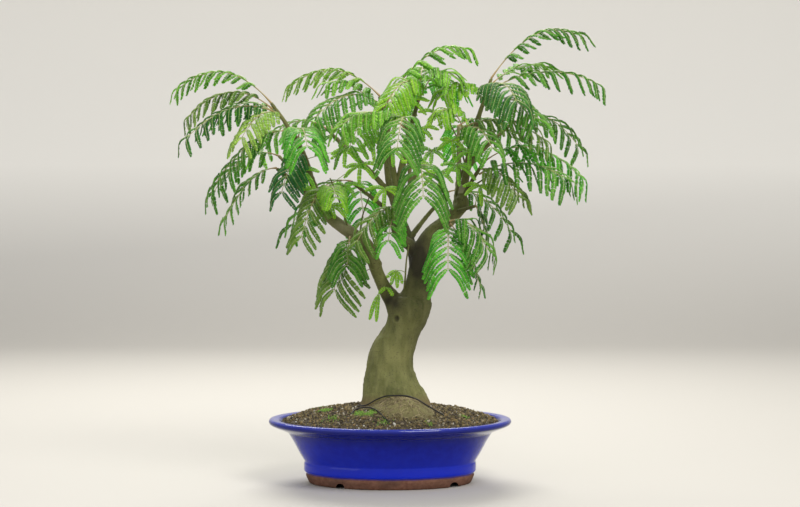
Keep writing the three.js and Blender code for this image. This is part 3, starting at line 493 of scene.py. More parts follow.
# Materials.
class Paint:
    """A node material under construction."""

    def __init__(self, name, **values):
        self.material = bpy.data.materials.new(name)
        self.material.use_nodes = True
        self.tree = self.material.node_tree
        self.shader = self.tree.nodes["Principled BSDF"]
        self.output = self.tree.nodes["Material Output"]
        for socket, value in values.items():
            self.shader.inputs[socket.replace("_", " ")].default_value = value

    def node(self, kind, settings=None, **links):
        made = self.tree.nodes.new("ShaderNode" + kind)
        for key, value in (settings or {}).items():
            if key in made.inputs:
                made.inputs[key].default_value = value
            else:
                setattr(made, key, value)
        for key, source in links.items():
            self.tree.links.new(source, made.inputs[key])
        return made

    def feed(self, socket, value):
        """Sets the socket to a number or a colour, or links it."""
        if isinstance(value, (int, float)):
            socket.default_value = value
        elif isinstance(value, tuple):
            socket.default_value = (*value, 1)
        else:
            self.tree.links.new(value, socket)

    def link(self, source, socket):
        self.tree.links.new(source, self.shader.inputs[socket])

    def where(self, stretch=(1, 1, 1)):
        coordinates = self.node("TexCoord").outputs["Object"]
        return self.node("Mapping", {"Scale": stretch}, Vector=coordinates).outputs["Vector"]

    def noise(self, scale, detail=4, rough=0.55, stretch=(1, 1, 1)):
        made = self.node(
            "TexNoise", {"Scale": scale, "Detail": detail, "Roughness": rough}, Vector=self.where(stretch)
        )
        return made.outputs["Fac"]

    def cells(self, scale, stretch=(1, 1, 1)):
        made = self.node("TexVoronoi", {"Scale": scale}, Vector=self.where(stretch))
        return made.outputs["Distance"]

    def tone(self):
        return self.node("Attribute", {"attribute_name": "tone"}).outputs["Fac"]

    def ramp(self, source, stops):
        made = self.node("ValToRGB", Fac=source)
        elements = made.color_ramp.elements
        while len(elements) < len(stops):
            elements.new(0.5)
        for element, (position, colour) in zip(elements, stops):
            element.position = position
            element.color = (*colour, 1) if isinstance(colour, tuple) else (colour, colour, colour, 1)
        return made.outputs["Color"]

    def mix(self, share, first, second, blend="MIX"):
        made = self.node("Mix", {"data_type": "RGBA", "blend_type": blend})
        for socket, value in ((0, share), (6, first), (7, second)):
            self.feed(made.inputs[socket], value)
        return made.outputs[2]

    def over(self, base, source, stops, colour):
        """base under the colour, which is as thick as a ramp over the source says."""
        return self.mix(self.ramp(source, stops), base, colour)

    def maths(self, operation, first, second):
        made = self.node("Math", {"operation": operation})
        for socket, value in enumerate((first, second)):
            self.feed(made.inputs[socket], value)
        return made.outputs[0]

    def height(self):
        return self.node("SeparateXYZ", Vector=self.where()).outputs["Z"]

    def bump(self, source, strength, distance):
        made = self.node("Bump", {"Strength": strength, "Distance": distance}, Height=source)
        self.link(made.outputs["Normal"], "Normal")


def leaf_paint(tone):
    shaded, lit = TONES[tone]
    paint = Paint("blade_" + tone, Roughness=0.5, Specular_IOR_Level=0.35)
    patchy = paint.noise(60, 3)
    patches = paint.maths("MULTIPLY", paint.maths("SUBTRACT", patchy, 0.5), 0.9)
    share = paint.maths("ADD", paint.tone(), patches)
    # Painted light and shade: the tone picks the colour between the blade's shaded and lit copies.
    colour = paint.ramp(share, [(0.15, shaded), (0.85, lit)])
    paint.link(colour, "Base Color")
    glow = paint.node("BsdfTranslucent", Color=paint.mix(1.0, colour, (1.0, 1.0, 0.55), "MULTIPLY"))
    both = paint.node("MixShader", {"Fac": 0.42})
    paint.tree.links.new(paint.shader.outputs[0], both.inputs[1])
    paint.tree.links.new(glow.outputs[0], both.inputs[2])
    paint.tree.links.new(both.outputs[0], paint.output.inputs["Surface"])
    return paint.material


def stalk_paint():
    paint = Paint("stalk", Roughness=0.5)
    colour = paint.ramp(paint.noise(90, 3), [(0.3, (0.24, 0.34, 0.09)), (0.7, (0.40, 0.50, 0.17))])
    paint.link(paint.mix(paint.tone(), colour, (0.36, 0.19, 0.09)), "Base Color")
    return paint.material


def bark_paint():
    paint = Paint("bark", Roughness=0.78, Specular_IOR_Level=0.3)
    broad = paint.noise(16, 4, 0.6)
    streaks = paint.noise(120, 5, 0.62, (1, 1, 0.16))
    olives = [(0.30, (0.055, 0.061, 0.016)), (0.50, (0.120, 0.124, 0.036)), (0.72, (0.210, 0.205, 0.070))]
    colour = paint.ramp(broad, olives)
    for source, first, last, layer in (
        (streaks, (0.35, 0.0), (0.7, 0.42), (0.24, 0.232, 0.092)),
        (paint.noise(430, 2, 0.5), (0.60, 0.0), (0.72, 0.8), (0.05, 0.045, 0.025)),
        (paint.cells(210, (1, 1, 2.4)), (0.05, 0.7), (0.16, 0.0), (0.24, 0.18, 0.10)),
        (paint.height(), (0.128, 0.75), (0.150, 0.0), (0.17, 0.105, 0.055)),
        # Painted shade: nearly black where the tone is high, in the fork, inside the right limb and in hollow
        # knots.
        (paint.tone(), (0.5, 0.0), (1.0, 0.92), (0.020, 0.015, 0.010)),
        (paint.tone(), (0.0, 0.9), (0.45, 0.0), (0.40, 0.35, 0.25)),
    ):
        colour = paint.over(colour, source, [first, last], layer)
    paint.link(colour, "Base Color")
    fine = paint.maths("ADD", paint.maths("MULTIPLY", streaks, 0.7), paint.noise(520, 4))
    paint.bump(fine, 0.8, 0.0013)
    return paint.material


def glaze_paint():
    paint = Paint("glaze_and_clay", Coat_Roughness=0.06, Specular_IOR_Level=0.12)
    height = paint.height()
    drips = paint.maths("MULTIPLY", paint.maths("SUBTRACT", paint.noise(45, 2), 0.5), 0.0022)
    edge = paint.maths("ADD", height, drips)
    line = GLAZE_FROM / 1000
    glazed = paint.ramp(edge, [(line - 0.0004, 0.0), (line + 0.0006, 1.0)])
    mottle = paint.noise(75, 5, 0.6)
    blue = paint.ramp(mottle, [(0.3, (0.0010, 0.007, 0.29)), (0.7, (0.0020, 0.013, 0.39))])
    # Painted light: a brighter blue over the lower body, fading upwards.
    blue = paint.over(blue, height, [(0.022, 0.8), (0.068, 0.0)], (0.0030, 0.020, 0.52))
    # Painted shade: a deep navy over the upper body under the lip and on the lip, fading on the rim's top.
    lip_shade = [(0.070, 0.0), (0.086, 0.65), (0.1035, 0.75), (0.1056, 0.35)]
    blue = paint.over(blue, height, lip_shade, (0.0012, 0.003, 0.085))
    # A paler lavender blue towards the rim's top.
    rim_top_paler = [(0.0985, 0.0), (0.1015, 0.03), (0.1040, 0.06), (0.1058, 0.20)]
    blue = paint.over(blue, height, rim_top_paler, (0.16, 0.20, 0.55))
    clay = paint.ramp(paint.noise(140, 6, 0.65), [(0.3, (0.12, 0.050, 0.032)), (0.7, (0.24, 0.120, 0.078))])
    stained = paint.over(clay, paint.noise(30, 3), [(0.45, 0.0), (0.7, 0.5)], (0.07, 0.042, 0.03))
    paint.link(paint.mix(glazed, stained, blue), "Base Color")
    rough = paint.ramp(glazed, [(0.0, 0.8), (1.0, 0.09)])
    paint.link(rough, "Roughness")
    paint.link(paint.maths("MULTIPLY", glazed, 0.3), "Coat Weight")
    grit = paint.mix(glazed, paint.noise(900, 4), paint.maths("MULTIPLY", paint.noise(55, 3), 0.15))
    paint.bump(grit, 0.25, 0.0006)
    return paint.material


def earth_paint():
    paint = Paint("earth", Roughness=0.95)
    grit = paint.noise(420, 6, 0.7)
    browns = [(0.3, (0.018, 0.013, 0.008)), (0.55, (0.060, 0.044, 0.024)), (0.75, (0.15, 0.115, 0.065))]
    colour = paint.ramp(grit, browns)
    padded = paint.over(colour, paint.tone(), [(0.5, 0.0), (1.0, 0.9)], (0.245, 0.226, 0.084))
    paint.link(padded, "Base Color")
    paint.bump(grit, 0.9, 0.0016)
    return paint.material


def grain_paint():
    paint = Paint("grains", Roughness=0.9)
    stops = [
        (0.0, (0.014, 0.011, 0.007)), (0.25, (0.042, 0.032, 0.017)), (0.45, (0.125, 0.096, 0.036)),
        (0.62, (0.22, 0.175, 0.066)), (0.76, (0.24, 0.155, 0.058)), (0.86, (0.33, 0.28, 0.18)),
        (1.0, (0.62, 0.60, 0.52)),
    ]
    colour = paint.ramp(paint.tone(), stops)
    speckle = paint.maths("MULTIPLY", paint.noise(700, 4), 0.55)
    paint.link(paint.mix(speckle, colour, (0.05, 0.034, 0.02)), "Base Color")
    paint.bump(paint.noise(1300, 3), 0.5, 0.0005)
    return paint.material


def toned_paint(name, rough, first, last):
    """A paint that runs from one colour to another with the tone of the points."""
    paint = Paint(name, Roughness=rough)
    paint.link(paint.ramp(paint.tone(), [(0.0, first), (1.0, last)]), "Base Color")
    return paint.material


def flecked_paint(name, scale, stops, **values):
    paint = Paint(name, **values)
    paint.link(paint.ramp(paint.noise(scale, 3), stops), "Base Color")
    return paint.material


# Leaves. Each repeats its solid's plan: an arched axis with opposite pairs of pinnae.
def wobble(leaf, pinna, kind):
    return math.sin(17.3 * leaf + 5.71 * pinna + 2.39 * kind * kind)


class Axis:
    """A leaf's axis: a parabola from its base on the twig to its tip."""

    def __init__(self, base, tip, arch):
        self.base, self.tip = base, tip
        self.middle = (base + tip) / 2 + UP * arch
        ahead = unit((tip - base) * [1, 1, 0])
        self.side = np.cross(ahead, UP)

    def at(self, share):
        return (1 - share) ** 2 * self.base + 2 * share * (1 - share) * self.middle + share**2 * self.tip

    def along(self, share):
        return unit((1 - share) * (self.middle - self.base) + share * (self.tip - self.middle))

    def up(self, share):
        return np.cross(self.side, self.along(share))

    def length(self):
        points = np.array([self.at(share) for share in np.linspace(0, 1, 201)])
        return norm(np.diff(points, axis=0), axis=1).sum()

    def ridge(self, share):
        radius = PETIOLE_RADIUS + (TIP_RADIUS - PETIOLE_RADIUS) * share
        return self.at(share) + self.up(share) * radius


class Leaf:
    def __init__(self, number, name, row):
        self.number, self.name = number, "leaf_" + name
        self.twig = TWIGS.get(name[:-2], name[:-2])
        self.back, tip, self.arch, self.pairs, self.pinna, self.droop, self.tone = row
        self.tip = np.array(tip, float)
        self.length = Axis(self.base(0), self.tip, self.arch).length()

    def base(self, round_twig):
        """Where the petiole starts, just clear of the bark of its twig."""
        sections = np.array(LIMBS[self.twig], float)
        end, before = sections[-1], sections[-2]
        inward = before[:3] - end[:3]
        distance = norm(inward)
        twig_radius = end[3] + (before[3] - end[3]) * self.back / distance
        inward /= distance
        spot = end[:3] + inward * self.back
        aim = Axis(spot, self.tip, self.arch).along(0)

        def tilt(direction):
            return math.sqrt(max(0, 1 - (aim @ direction) ** 2))

        if self.back == 0:
            return spot - inward * (GAP + 0.3 + PETIOLE_RADIUS * tilt(inward))
        out = turned(unit(aim - inward * (aim @ inward)), inward, math.radians(round_twig))
        return spot + out * (twig_radius + GAP + 0.2 + PETIOLE_RADIUS * tilt(out))

    def axis(self, choice):
        turn, lift, round_twig = choice
        base = self.base(round_twig)
        return Axis(base, base + turned(self.tip - base, UP, math.radians(turn)) + UP * lift, self.arch)

    def share(self, pair):
        last = 1 - ROOT_WIDTH / self.length
        return PETIOLE_SHARE + (last - PETIOLE_SHARE) * pair / (self.pairs - 1)

    def pinna_line(self, axis, pair, right, choice):
        """The pinna's line as three points, its direction across, its upper face and its size."""
        bend, shorten = choice
        share = self.share(pair)
        along, up = axis.along(share), axis.up(share)
        outward = axis.side * (1 if right else -1)
        spot = pair / (self.pairs - 1)
        number = 2 * pair + (1 if right else 0)
        steep = max(0, -along[2])
        forward = math.radians(38 + (22 - 14 * steep) * spot + 4 * wobble(self.number, number, 1))
        start = outward * math.cos(forward) + along * math.sin(forward)
        start = start + up * (0.14 + 0.05 * wobble(self.number, number, 2))
        start = turned(start, along, math.radians(bend) * (-1 if right else 1))
        hang = -UP + along * (0.65 + 0.35 * steep) * along[2]
        envelope = 0.7 + 0.3 * math.sin(math.pi * (0.12 + 0.72 * spot))
        length = self.pinna * shorten * envelope * (1 + 0.05 * wobble(self.number, number, 3))
        size = 0.55 + 0.45 * min(1, length / 50)
        droop = self.droop * (1 + 0.15 * wobble(self.number, number, 4))
        middle = unit(start + hang * PINNA_MIDDLE * droop)
        face = carried(up, outward, middle)
        across = carried(along, outward, middle) * math.cos(TWIST) - face * math.sin(TWIST)
        points = [axis.at(share) + outward]
        for pull, run in STRETCHES:
            points.append(points[-1] + unit(start + hang * pull * droop) * run * length)
        return np.array(points), across, face, size


def vectors(mesh, field):
    """A field of the mesh's vertices, one row for each."""
    flat = np.empty(len(mesh.vertices) * 3)
    mesh.vertices.foreach_get(field, flat)
    return flat.reshape(-1, 3)


def node_points(name):
    """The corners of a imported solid, for looking up."""
    points = (vectors(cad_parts[name].data, "co") - MIDDLE) * 1000
    tree = kdtree.KDTree(len(points))
    for i, point in enumerate(points):
        tree.insert(point, i)
    tree.balance()
    return tree


def settled(leaf):
    """The axis and pinnae that the leaf's solid took, out of those that it could choose from."""
    corners = node_points(leaf.name)

    def there(point):
        return corners.find(point)[2] < SAME_POINT

    end = leaf.share(leaf.pairs - 1) + ROOT_WIDTH / 2 / leaf.length
    axes = [leaf.axis(choice) for choice in LEAF_CHOICES]
    axes = [axis for axis in axes if there(axis.ridge(0)) and there(axis.ridge(end))]
    if not axes:
        raise RuntimeError(f"{leaf.name} lies along none of its axes")
    pinnae = []
    for pair in range(leaf.pairs):
        for right in (False, True):
            lines = (leaf.pinna_line(axes[0], pair, right, choice) for choice in PINNA_CHOICES)
            found = next((line for line in lines if there(line[0][-1])), None)
            if found:
                pinnae.append(found)
    return axes[0], pinnae


def leaflet_faces():
    rim = [(0, 5, 6), (5, 4, 7), (5, 7, 6), (4, 3, 7), (3, 2, 7), (2, 6, 7), (2, 1, 6), (1, 0, 6)]
    under = [tuple(i + 2 if i > 5 else i for i in reversed(face)) for face in rim]
    return np.array(rim + under)


LEAFLET_FACES = leaflet_faces()


def add_leaflets(shape, line, across, face, size, slim, tone):
    """Leaflets in opposite pairs along a pinna, swept forward and shorter towards its ends."""
    curve = spline(line, CURVE_POINTS)
    length = norm(np.diff(curve, axis=0), axis=1).sum()
    count = max(4, round(0.94 * length / (LEAFLET_PITCH * (0.6 + 0.4 * size))))
    along = headings(curve)
    flat = units(across - along * (along @ across)[:, None])
    normal = np.cross(along, flat)
    normal *= np.sign(normal @ face)[:, None]
    places = np.linspace(*LEAFLET_ENDS, count)
    last = CURVE_POINTS - 1
    spots = np.clip((places * last).astype(int), 0, last)
    envelope = np.interp(places, *LEAFLET_LENGTHS)
    width = LEAFLET_OVERLAP * (LEAFLET_ENDS[1] - LEAFLET_ENDS[0]) * length / count
    outline = np.array(LEAFLET_RIM + LEAFLET_RIB + LEAFLET_RIB)
    thick = np.array([0.0] * 6 + [0.5] * 2 + [-0.5] * 2) * LEAFLET_THICKNESS
    keel = np.array(LEAFLET_KEEL)
    for side in (-1, 1):
        wave = random.normal(0, 1, (count, 3))
        sweep = np.radians(np.interp(places, [0, 0.75, 1], [20, 33, 62]) + 4 * wave[:, 0])[:, None]
        sag = (0.20 + 0.06 * wave[:, 1])[:, None]
        run = units(flat[spots] * side * np.cos(sweep) + along[spots] * np.sin(sweep) - normal[spots] * sag)
        wide = units(along[spots] - run * (run * along[spots]).sum(1)[:, None])
        tilt = (0.06 * wave[:, 2] + 0.05)[:, None]
        wide = wide * np.cos(tilt) + normal[spots] * np.sin(tilt)
        wide = units(wide - run * (run * wide).sum(1)[:, None])
        high = np.cross(run, wide)
        over = np.sign((high * normal[spots]).sum(1))
        reach = (LEAFLET_REACH * slim * size * envelope / np.cos(np.minimum(sweep[:, 0], 0.8)))[:, None]
        points = (
            curve[spots][:, None]
            + outline[None, :, 0, None] * (run * reach)[:, None]
            + outline[None, :, 1, None] * (wide * width * (0.85 + 0.15 * envelope[:, None]))[:, None]
            + (keel[None, :, None] * over[:, None, None] + thick[None, :, None]) * high[:, None]
        )
        faces = (LEAFLET_FACES[None] + 10 * np.arange(count)[:, None, None]).reshape(-1, 3)
        # The leaflets' tones: random, lighter towards the pinna's tip, and painted side light, lighter on one
        # side of the pinna and darker on the other.
        tones_with_side_light = tone + 0.10 * wave[:, 0] + 0.15 * (places - 0.5) + 0.16 * side
        shape.add(points.reshape(-1, 3), faces, 0, np.repeat(tones_with_side_light, 10))


def add_stalks(shape, axis, pinnae, end):
    """The petiole with its swollen foot, the rachis, and a fine stalk along each pinna."""
    shares = np.linspace(0, end, 22)
    points = [axis.base - axis.along(0) * 1.6] + [axis.at(share) for share in shares]
    radii = [1.5, 1.9, 1.4] + list(np.linspace(1.0, 0.5, 20))
    shape.add(*tube(points, radii, 7), 1, np.linspace(0.8, 0.3, len(points)).repeat(7).tolist() + [0.8, 0.3])
    for line, _, face, size in pinnae:
        curve = spline(line, 8) + face * 0.35
        radii = np.interp(np.linspace(0, 1, 8), [0, 0.1, 0.2, 1], [0.75, 0.62, 0.52, 0.3]) * size
        shape.add(*tube(curve, radii, 4), 1, 0.05)


def make_leaves(stalk):
    paints = {tone: leaf_paint(tone) for tone in TONES}
    for number, (name, row) in enumerate(LEAVES.items()):
        leaf = Leaf(number, name, row)
        axis, pinnae = settled(leaf)
        shape = Shape()
        slim = 1.04 - 0.22 * abs(axis.side[0])
        for line, across, face, size in pinnae:
            add_leaflets(shape, line, across, face, size, slim, 0.5 + 0.14 * random.normal())
        add_stalks(shape, axis, pinnae, leaf.share(leaf.pairs - 1) + ROOT_WIDTH / 2 / leaf.length)
        shape.piece("frond_" + name, [paints[leaf.tone], stalk], [leaf.name])
    return paints


def add_young_leaf(shape, foot, head, tips):
    shape.add(*tube([foot, (foot + head) / 2 + UP * 2, head], [0.8, 0.6, 0.5], 6), 1, 0.1)
    for tip in tips:
        middle = (head + tip) / 2 + UP * 0.12 * norm(tip - head)
        line = np.array([head, middle, tip])
        run = unit(tip - head)
        across = unit(np.cross(run, np.array([0.0, -1.0, 0.35])))
        add_leaflets(shape, line, across, np.cross(across, run), 0.72, 0.9, 0.6)
        shape.add(*tube(spline(line, 8), 0.35, 4), 1, 0.1)


def make_young_leaves(paints, stalk):
    """Small leaves in the fork, and soft shoots over the limbs inside the crown."""
    for name, (foot, head, tips) in YOUNG_LEAVES.items():
        shape = Shape()
        add_young_leaf(shape, np.array(foot, float), np.array(head, float), np.array(tips, float))
        shape.piece(name, [paints["lime"], stalk])
    wood = np.vstack([spline(sections, 40)[:, :3] for sections in LIMBS.values()])
    for number, head in enumerate(np.array(YOUNG_HEADS, float)):
        tips = []
        for heading in SHOOT_FAN:
            angle = math.radians(heading + random.normal(0, 9))
            way = np.array([math.sin(angle), -0.3, -0.7 * math.cos(angle) - 0.3])
            tips.append(head + way * random.uniform(20, 34))
        shape = Shape()
        add_young_leaf(shape, wood[np.argmin(norm(wood - head, axis=1))], head, tips)
        shape.piece(f"young_shoot_{number + 1}", [paints["lime" if number % 3 else "light"], stalk])


# Wood.
def remeshed(name, shape, grid):
    """The shape's outer skin as one even mesh, with its crossings fused and smoothed."""
    mesh = bpy.data.meshes.new(name + "_rough")
    mesh.from_pydata(np.vstack(shape.points).tolist(), [], shape.faces)
    rough = linked(name + "_rough", mesh)
    remesh = rough.modifiers.new("remesh", "REMESH")
    remesh.mode = "VOXEL"
    remesh.voxel_size = grid
    soften = rough.modifiers.new("soften", "SMOOTH")
    soften.factor = 0.5
    soften.iterations = 4
    graph = bpy.context.evaluated_depsgraph_get()
    made = bpy.data.meshes.new_from_object(rough.evaluated_get(graph))
    points, normals = vectors(made, "co"), vectors(made, "normal")
    faces = [tuple(polygon.vertices) for polygon in made.polygons]
    bpy.data.objects.remove(rough)
    bpy.data.meshes.remove(mesh)
    bpy.data.meshes.remove(made)
    return points, faces, normals


def trunk_rings(count=64, sides=48):
    rings = []
    for x, y, z, radius in spline(TRUNK, count):
        flare = max(0, 1 - abs(z - 110) / 70)
        angles = around(sides)
        lobes = 1 + 0.07 * flare * np.cos(5 * angles + 0.6) + 0.02 * np.sin(3 * angles + z / 40)
        reach = radius * lobes
        rings.append(np.stack([x + reach * np.cos(angles), y + reach * np.sin(angles), np.full(sides, z)], 1))
    points = np.vstack(rings + [np.mean(rings[0], axis=0)[None], np.mean(rings[-1], axis=0)[None]])
    return points, capped(count, sides)


def blot(x, z, middle, spread):
    """How near x and z are to the middle of a soft blot on the bark: 1 there, and 0 far away."""
    return math.exp(-(((x - middle[0]) / spread[0]) ** 2 + ((z - middle[1]) / spread[1]) ** 2))


def make_tree(bark):
    shape = Shape()
    shape.add(*trunk_rings())
    for heading, length in ROOTS:
        turn = math.radians(heading)
        sections = [
            (8 + reach * math.cos(turn), 2 + 0.78 * reach * math.sin(turn), height, radius)
            for reach, height, radius in ((30, 92, 12), (34 + 0.42 * length, 78, 8), (34 + length, 52, 3.5))
        ]
        curve = spline(sections, 12)
        shape.add(*tube(curve[:, :3], curve[:, 3], 10))
    for name in HEAVY:
        curve = spline(LIMBS[name], 12 * len(LIMBS[name]))
        shape.add(*tube(curve[:, :3], curve[:, 3] + 0.25, 16))
    line, radius = SADDLE
    shape.add(*tube(line, radius, 12))
    points, faces, normals = remeshed("tree", shape, BARK_GRID)
    tones = np.full(len(points), 0.5)
    for i, (point, normal) in enumerate(zip(points, normals)):
        spot = Vector(point)
        girth = min(1, max(0.12, (390 - point[2]) / 130))
        stretched = Vector((point[0] / 9, point[1] / 9, point[2] / 42))
        relief = 1.5 * girth * noise.fractal(stretched, 0.9, 2.1, 4) + 0.35 * noise.noise(spot / 3.2)
        if point[2] < 165:
            relief += 1.2 * noise.fractal(spot / 12, 1.0, 2.0, 3) * (165 - point[2]) / 50
        for middle, (across, up), depth, dark in KNOTS:
            away = math.hypot((point[0] - middle[0]) / across, (point[2] - middle[2]) / up)
            if away < 1.8 and normal[1] < 0.1 and abs(point[1] - middle[1]) < 22:
                dip = max(0, 1 - away * away)
                rim = math.exp(-((away - 1.15) / 0.25) ** 2)
                relief += -depth * dip + (0.9 if dark else 0.3) * rim
                # Painted shade in a hollow knot, and a little paler on its rim.
                if dark:
                    tones[i] = 0.5 + 0.34 * min(1, 1.4 * dip) - 0.12 * rim
        points[i] += normal * relief
        x, y, z = point
        # Painted shade in the fork and inside the right limb, mottled a little; then a pale stretch on the
        # left limb and the pale cut.
        fork, inner = blot(x, z, *FORK_SHADE), blot(x, z, *INNER_SHADE)
        shadow = 0.50 * fork + 0.66 * inner + 0.16 * noise.noise(spot / 11) * (fork + inner)
        tones[i] = min(1, tones[i] + shadow)
        tones[i] -= 0.22 * blot(x, z, *PALE_STRETCH)
        if math.hypot(x - CUT[0], z - CUT[1]) < CUT_RADIUS and z > CUT_FROM:
            tones[i] = 0.1
    shape = Shape()
    shape.add(points, faces, 0, tones)
    for name, sections in LIMBS.items():
        if name in HEAVY:
            continue
        count = 14 * len(sections)
        curve = spline(sections, count)
        radii = curve[:, 3] * (1 + 0.45 * np.exp(-np.arange(count) / 3.0))
        radii *= 1 + 0.05 * np.sin(np.arange(count) * 1.7 + len(name)) + 0.03 * random.normal(size=count)
        shape.add(*tube(curve[:, :3], radii, 10), 0, 0.48)
    for line, first, last in SPROUTS:
        shape.add(*tube(spline(line, 24), np.linspace(first, last, 24), 7), 0, 0.46)
    shape.piece("wood", [bark], ["tree"])


# Pot.
def rounded(profile, radius, steps=4):
    """The profile with its corners rounded off."""
    points = np.array(profile, float)
    smooth = [points[0]]
    for before, corner, after in zip(points, points[1:], points[2:]):
        reach = [min(radius, 0.45 * norm(end - corner)) for end in (before, after)]
        first = corner + unit(before - corner) * reach[0]
        last = corner + unit(after - corner) * reach[1]
        for t in np.linspace(0, 1, steps):
            smooth.append((1 - t) ** 2 * first + 2 * t * (1 - t) * corner + t * t * last)
    smooth.append(points[-1])
    return smooth


def bored(pot, cutters):
    """The pot with the cutters' shapes taken out of it."""
    for cutter in cutters:
        cut = pot.modifiers.new("cut", "BOOLEAN")
        cut.operation = "DIFFERENCE"
        cut.solver = "EXACT"
        cut.object = cutter
    graph = bpy.context.evaluated_depsgraph_get()
    mesh = bpy.data.meshes.new_from_object(pot.evaluated_get(graph))
    for spare in (pot, *cutters):
        bpy.data.objects.remove(spare)
    return mesh


def scratch(name, points, faces):
    mesh = bpy.data.meshes.new(name)
    mesh.from_pydata(place(points).tolist(), [], faces)
    return linked(name, mesh)


def prism(outline, start, end):
    """A straight bar with the outline for its ends, which are offset by start and end."""
    count = len(outline)
    points = np.vstack([np.asarray(outline, float) + start, np.asarray(outline, float) + end])
    faces = [tuple(reversed(range(count))), tuple(range(count, 2 * count))]
    faces += [(i, (i + 1) % count, count + (i + 1) % count, count + i) for i in range(count)]
    return points, faces


def make_pot(glaze):
    profile = rounded(POT_OUTSIDE + POT_INSIDE, 3.2)
    angles = around(POT_SIDES)
    points = np.vstack([oval(reach, height, angles) for reach, height in profile])
    faces = [tuple(reversed(range(POT_SIDES))), tuple(range(len(points) - POT_SIDES, len(points)))]
    faces += [(b, c, d, a) for a, b, c, d in bands(len(profile), POT_SIDES)]
    pot = scratch("pot_blank", points, faces)
    cutters = []
    shoulder = NOTCH_HEIGHT - NOTCH_WIDTH / 2
    turns = np.linspace(0, math.pi, 13)
    arch = [(NOTCH_WIDTH / 2, -3)] + [
        (NOTCH_WIDTH / 2 * math.cos(turn), shoulder + NOTCH_WIDTH / 2 * math.sin(turn)) for turn in turns
    ] + [(-NOTCH_WIDTH / 2, -3)]
    for x in NOTCHES:
        for turn in (1, -1):
            outline = [(turn * (x + across), 0, height) for across, height in arch]
            if turn < 0:
                outline.reverse()
            cutters.append(scratch("notch", *prism(outline, (0, 0, 0), (0, -turn * POT_WIDTH, 0))))
    holes = [(side * DRAIN_X, 0, DRAIN_RADIUS) for side in (-1, 1)]
    wire_x, wire_y, wire_hole = WIRE_HOLES
    holes += [(side * wire_x, y, wire_hole) for side in (-1, 1) for y in (-wire_y, wire_y)]
    for x, y, radius in holes:
        outline = [(x + radius * math.cos(turn), y + radius * math.sin(turn), 0) for turn in around(24)]
        cutters.append(scratch("hole", *prism(outline, (0, 0, 5), (0, 0, 26))))
    mesh = bored(pot, cutters)
    mesh.polygons.foreach_set("use_smooth", [len(polygon.vertices) < 20 for polygon in mesh.polygons])
    mesh.set_sharp_from_angle(angle=math.radians(40))
    finished("glazed_pot", mesh, [glaze], ["pot"])


# Soil.
def on_pad(x, y):
    """How far out on the root pad a place is: 0 at its middle, 1 at its edge."""
    pad_x = PAD_MIDDLE[0] + PAD_LEAN * (PAD_MIDDLE[1] - y)
    return np.hypot((x - pad_x) / PAD_HALVES[0], (y - PAD_MIDDLE[1]) / PAD_HALVES[1])


def soil_height(x, y):
    reach = np.minimum(1, np.hypot(x / SOIL_DOME[0], y / SOIL_DOME[1]))
    ripple = 1.2 * np.sin(x / 17 + 1) * np.cos(y / 13) * (1 - reach)
    pad_height = PAD_HEIGHT * np.maximum(0, 1 - on_pad(x, y) ** 2) ** 1.5
    return SOIL_EDGE + SOIL_RISE * (1 - reach**3) + ripple + pad_height


def make_soil(earth):
    rings, sides = 70, 220
    angles = around(sides)
    points = []
    tones = []
    for share in np.linspace(0.05, 1, rings):
        x = share * SOIL_SIDE * np.cos(angles)
        y = share * (SOIL_SIDE - NARROWER) * np.sin(angles)
        z = soil_height(x, y)
        rough = [
            1.6 * noise.fractal(Vector((a / 9, b / 9, 3.0)), 0.9, 2.0, 3)
            + 0.7 * noise.noise(Vector((a / 2.4, b / 2.4, 8)))
            for a, b in zip(x, y)
        ]
        z = z + np.array(rough) * min(1, (1 - share) * 14 + 0.2)
        points.append(np.stack([x, y, z], 1))
        tones.append(0.5 + 0.5 * np.clip(1.15 - on_pad(x, y), 0, 1) ** 0.6 * (on_pad(x, y) < 1.15))
    for reach, height in SOIL_UNDERSIDE:
        points.append(oval(reach, height, angles))
        tones.append(np.full(sides, 0.3))
    count = len(points)
    faces = [(a, d, c, b) for a, b, c, d in bands(count, sides)]
    faces.append(tuple(range(sides)))
    faces.append(tuple(reversed(range((count - 1) * sides, count * sides))))
    shape = Shape()
    shape.add(np.vstack(points), faces, 0, np.concatenate(tones))
    shape.piece("earth", [earth], ["soil"])


def pebble():
    """The corners and faces of an icosahedron, for a grain to be squashed from."""
    shell = bmesh.new()
    bmesh.ops.create_icosphere(shell, subdivisions=1, radius=1)
    points = np.array([vertex.co[:] for vertex in shell.verts])
    faces = np.array([[vertex.index for vertex in face.verts] for face in shell.faces])
    shell.free()
    return points, faces


def scattered(count, inside):
    """count places on the soil for which inside(x, y) holds."""
    found = []
    while len(found) < count:
        x = random.uniform(-SOIL_SIDE, SOIL_SIDE)
        y = random.uniform(-(SOIL_SIDE - NARROWER), SOIL_SIDE - NARROWER)
        if np.hypot(x / SOIL_SIDE, y / (SOIL_SIDE - NARROWER)) < 0.985 and inside(x, y):
            found.append((x, y, float(soil_height(x, y))))
    return np.array(found)


def add_grains(shape, spots, sizes, tones):
    ball, faces = pebble()
    for spot, size, tone in zip(spots, sizes, tones):
        squash = random.uniform(0.65, 1.15, 3)
        points = ball * squash * (1 + 0.16 * random.normal(size=(len(ball), 1)))
        points = turned(points, random.normal(size=3), random.uniform(0, 6.3))
        shape.add(points * size + spot, faces, 0, tone)


def clear_of_trunk(x, y):
    return math.hypot(x - TRUNK_FOOT[0], y - TRUNK_FOOT[1]) > TRUNK_CLEAR


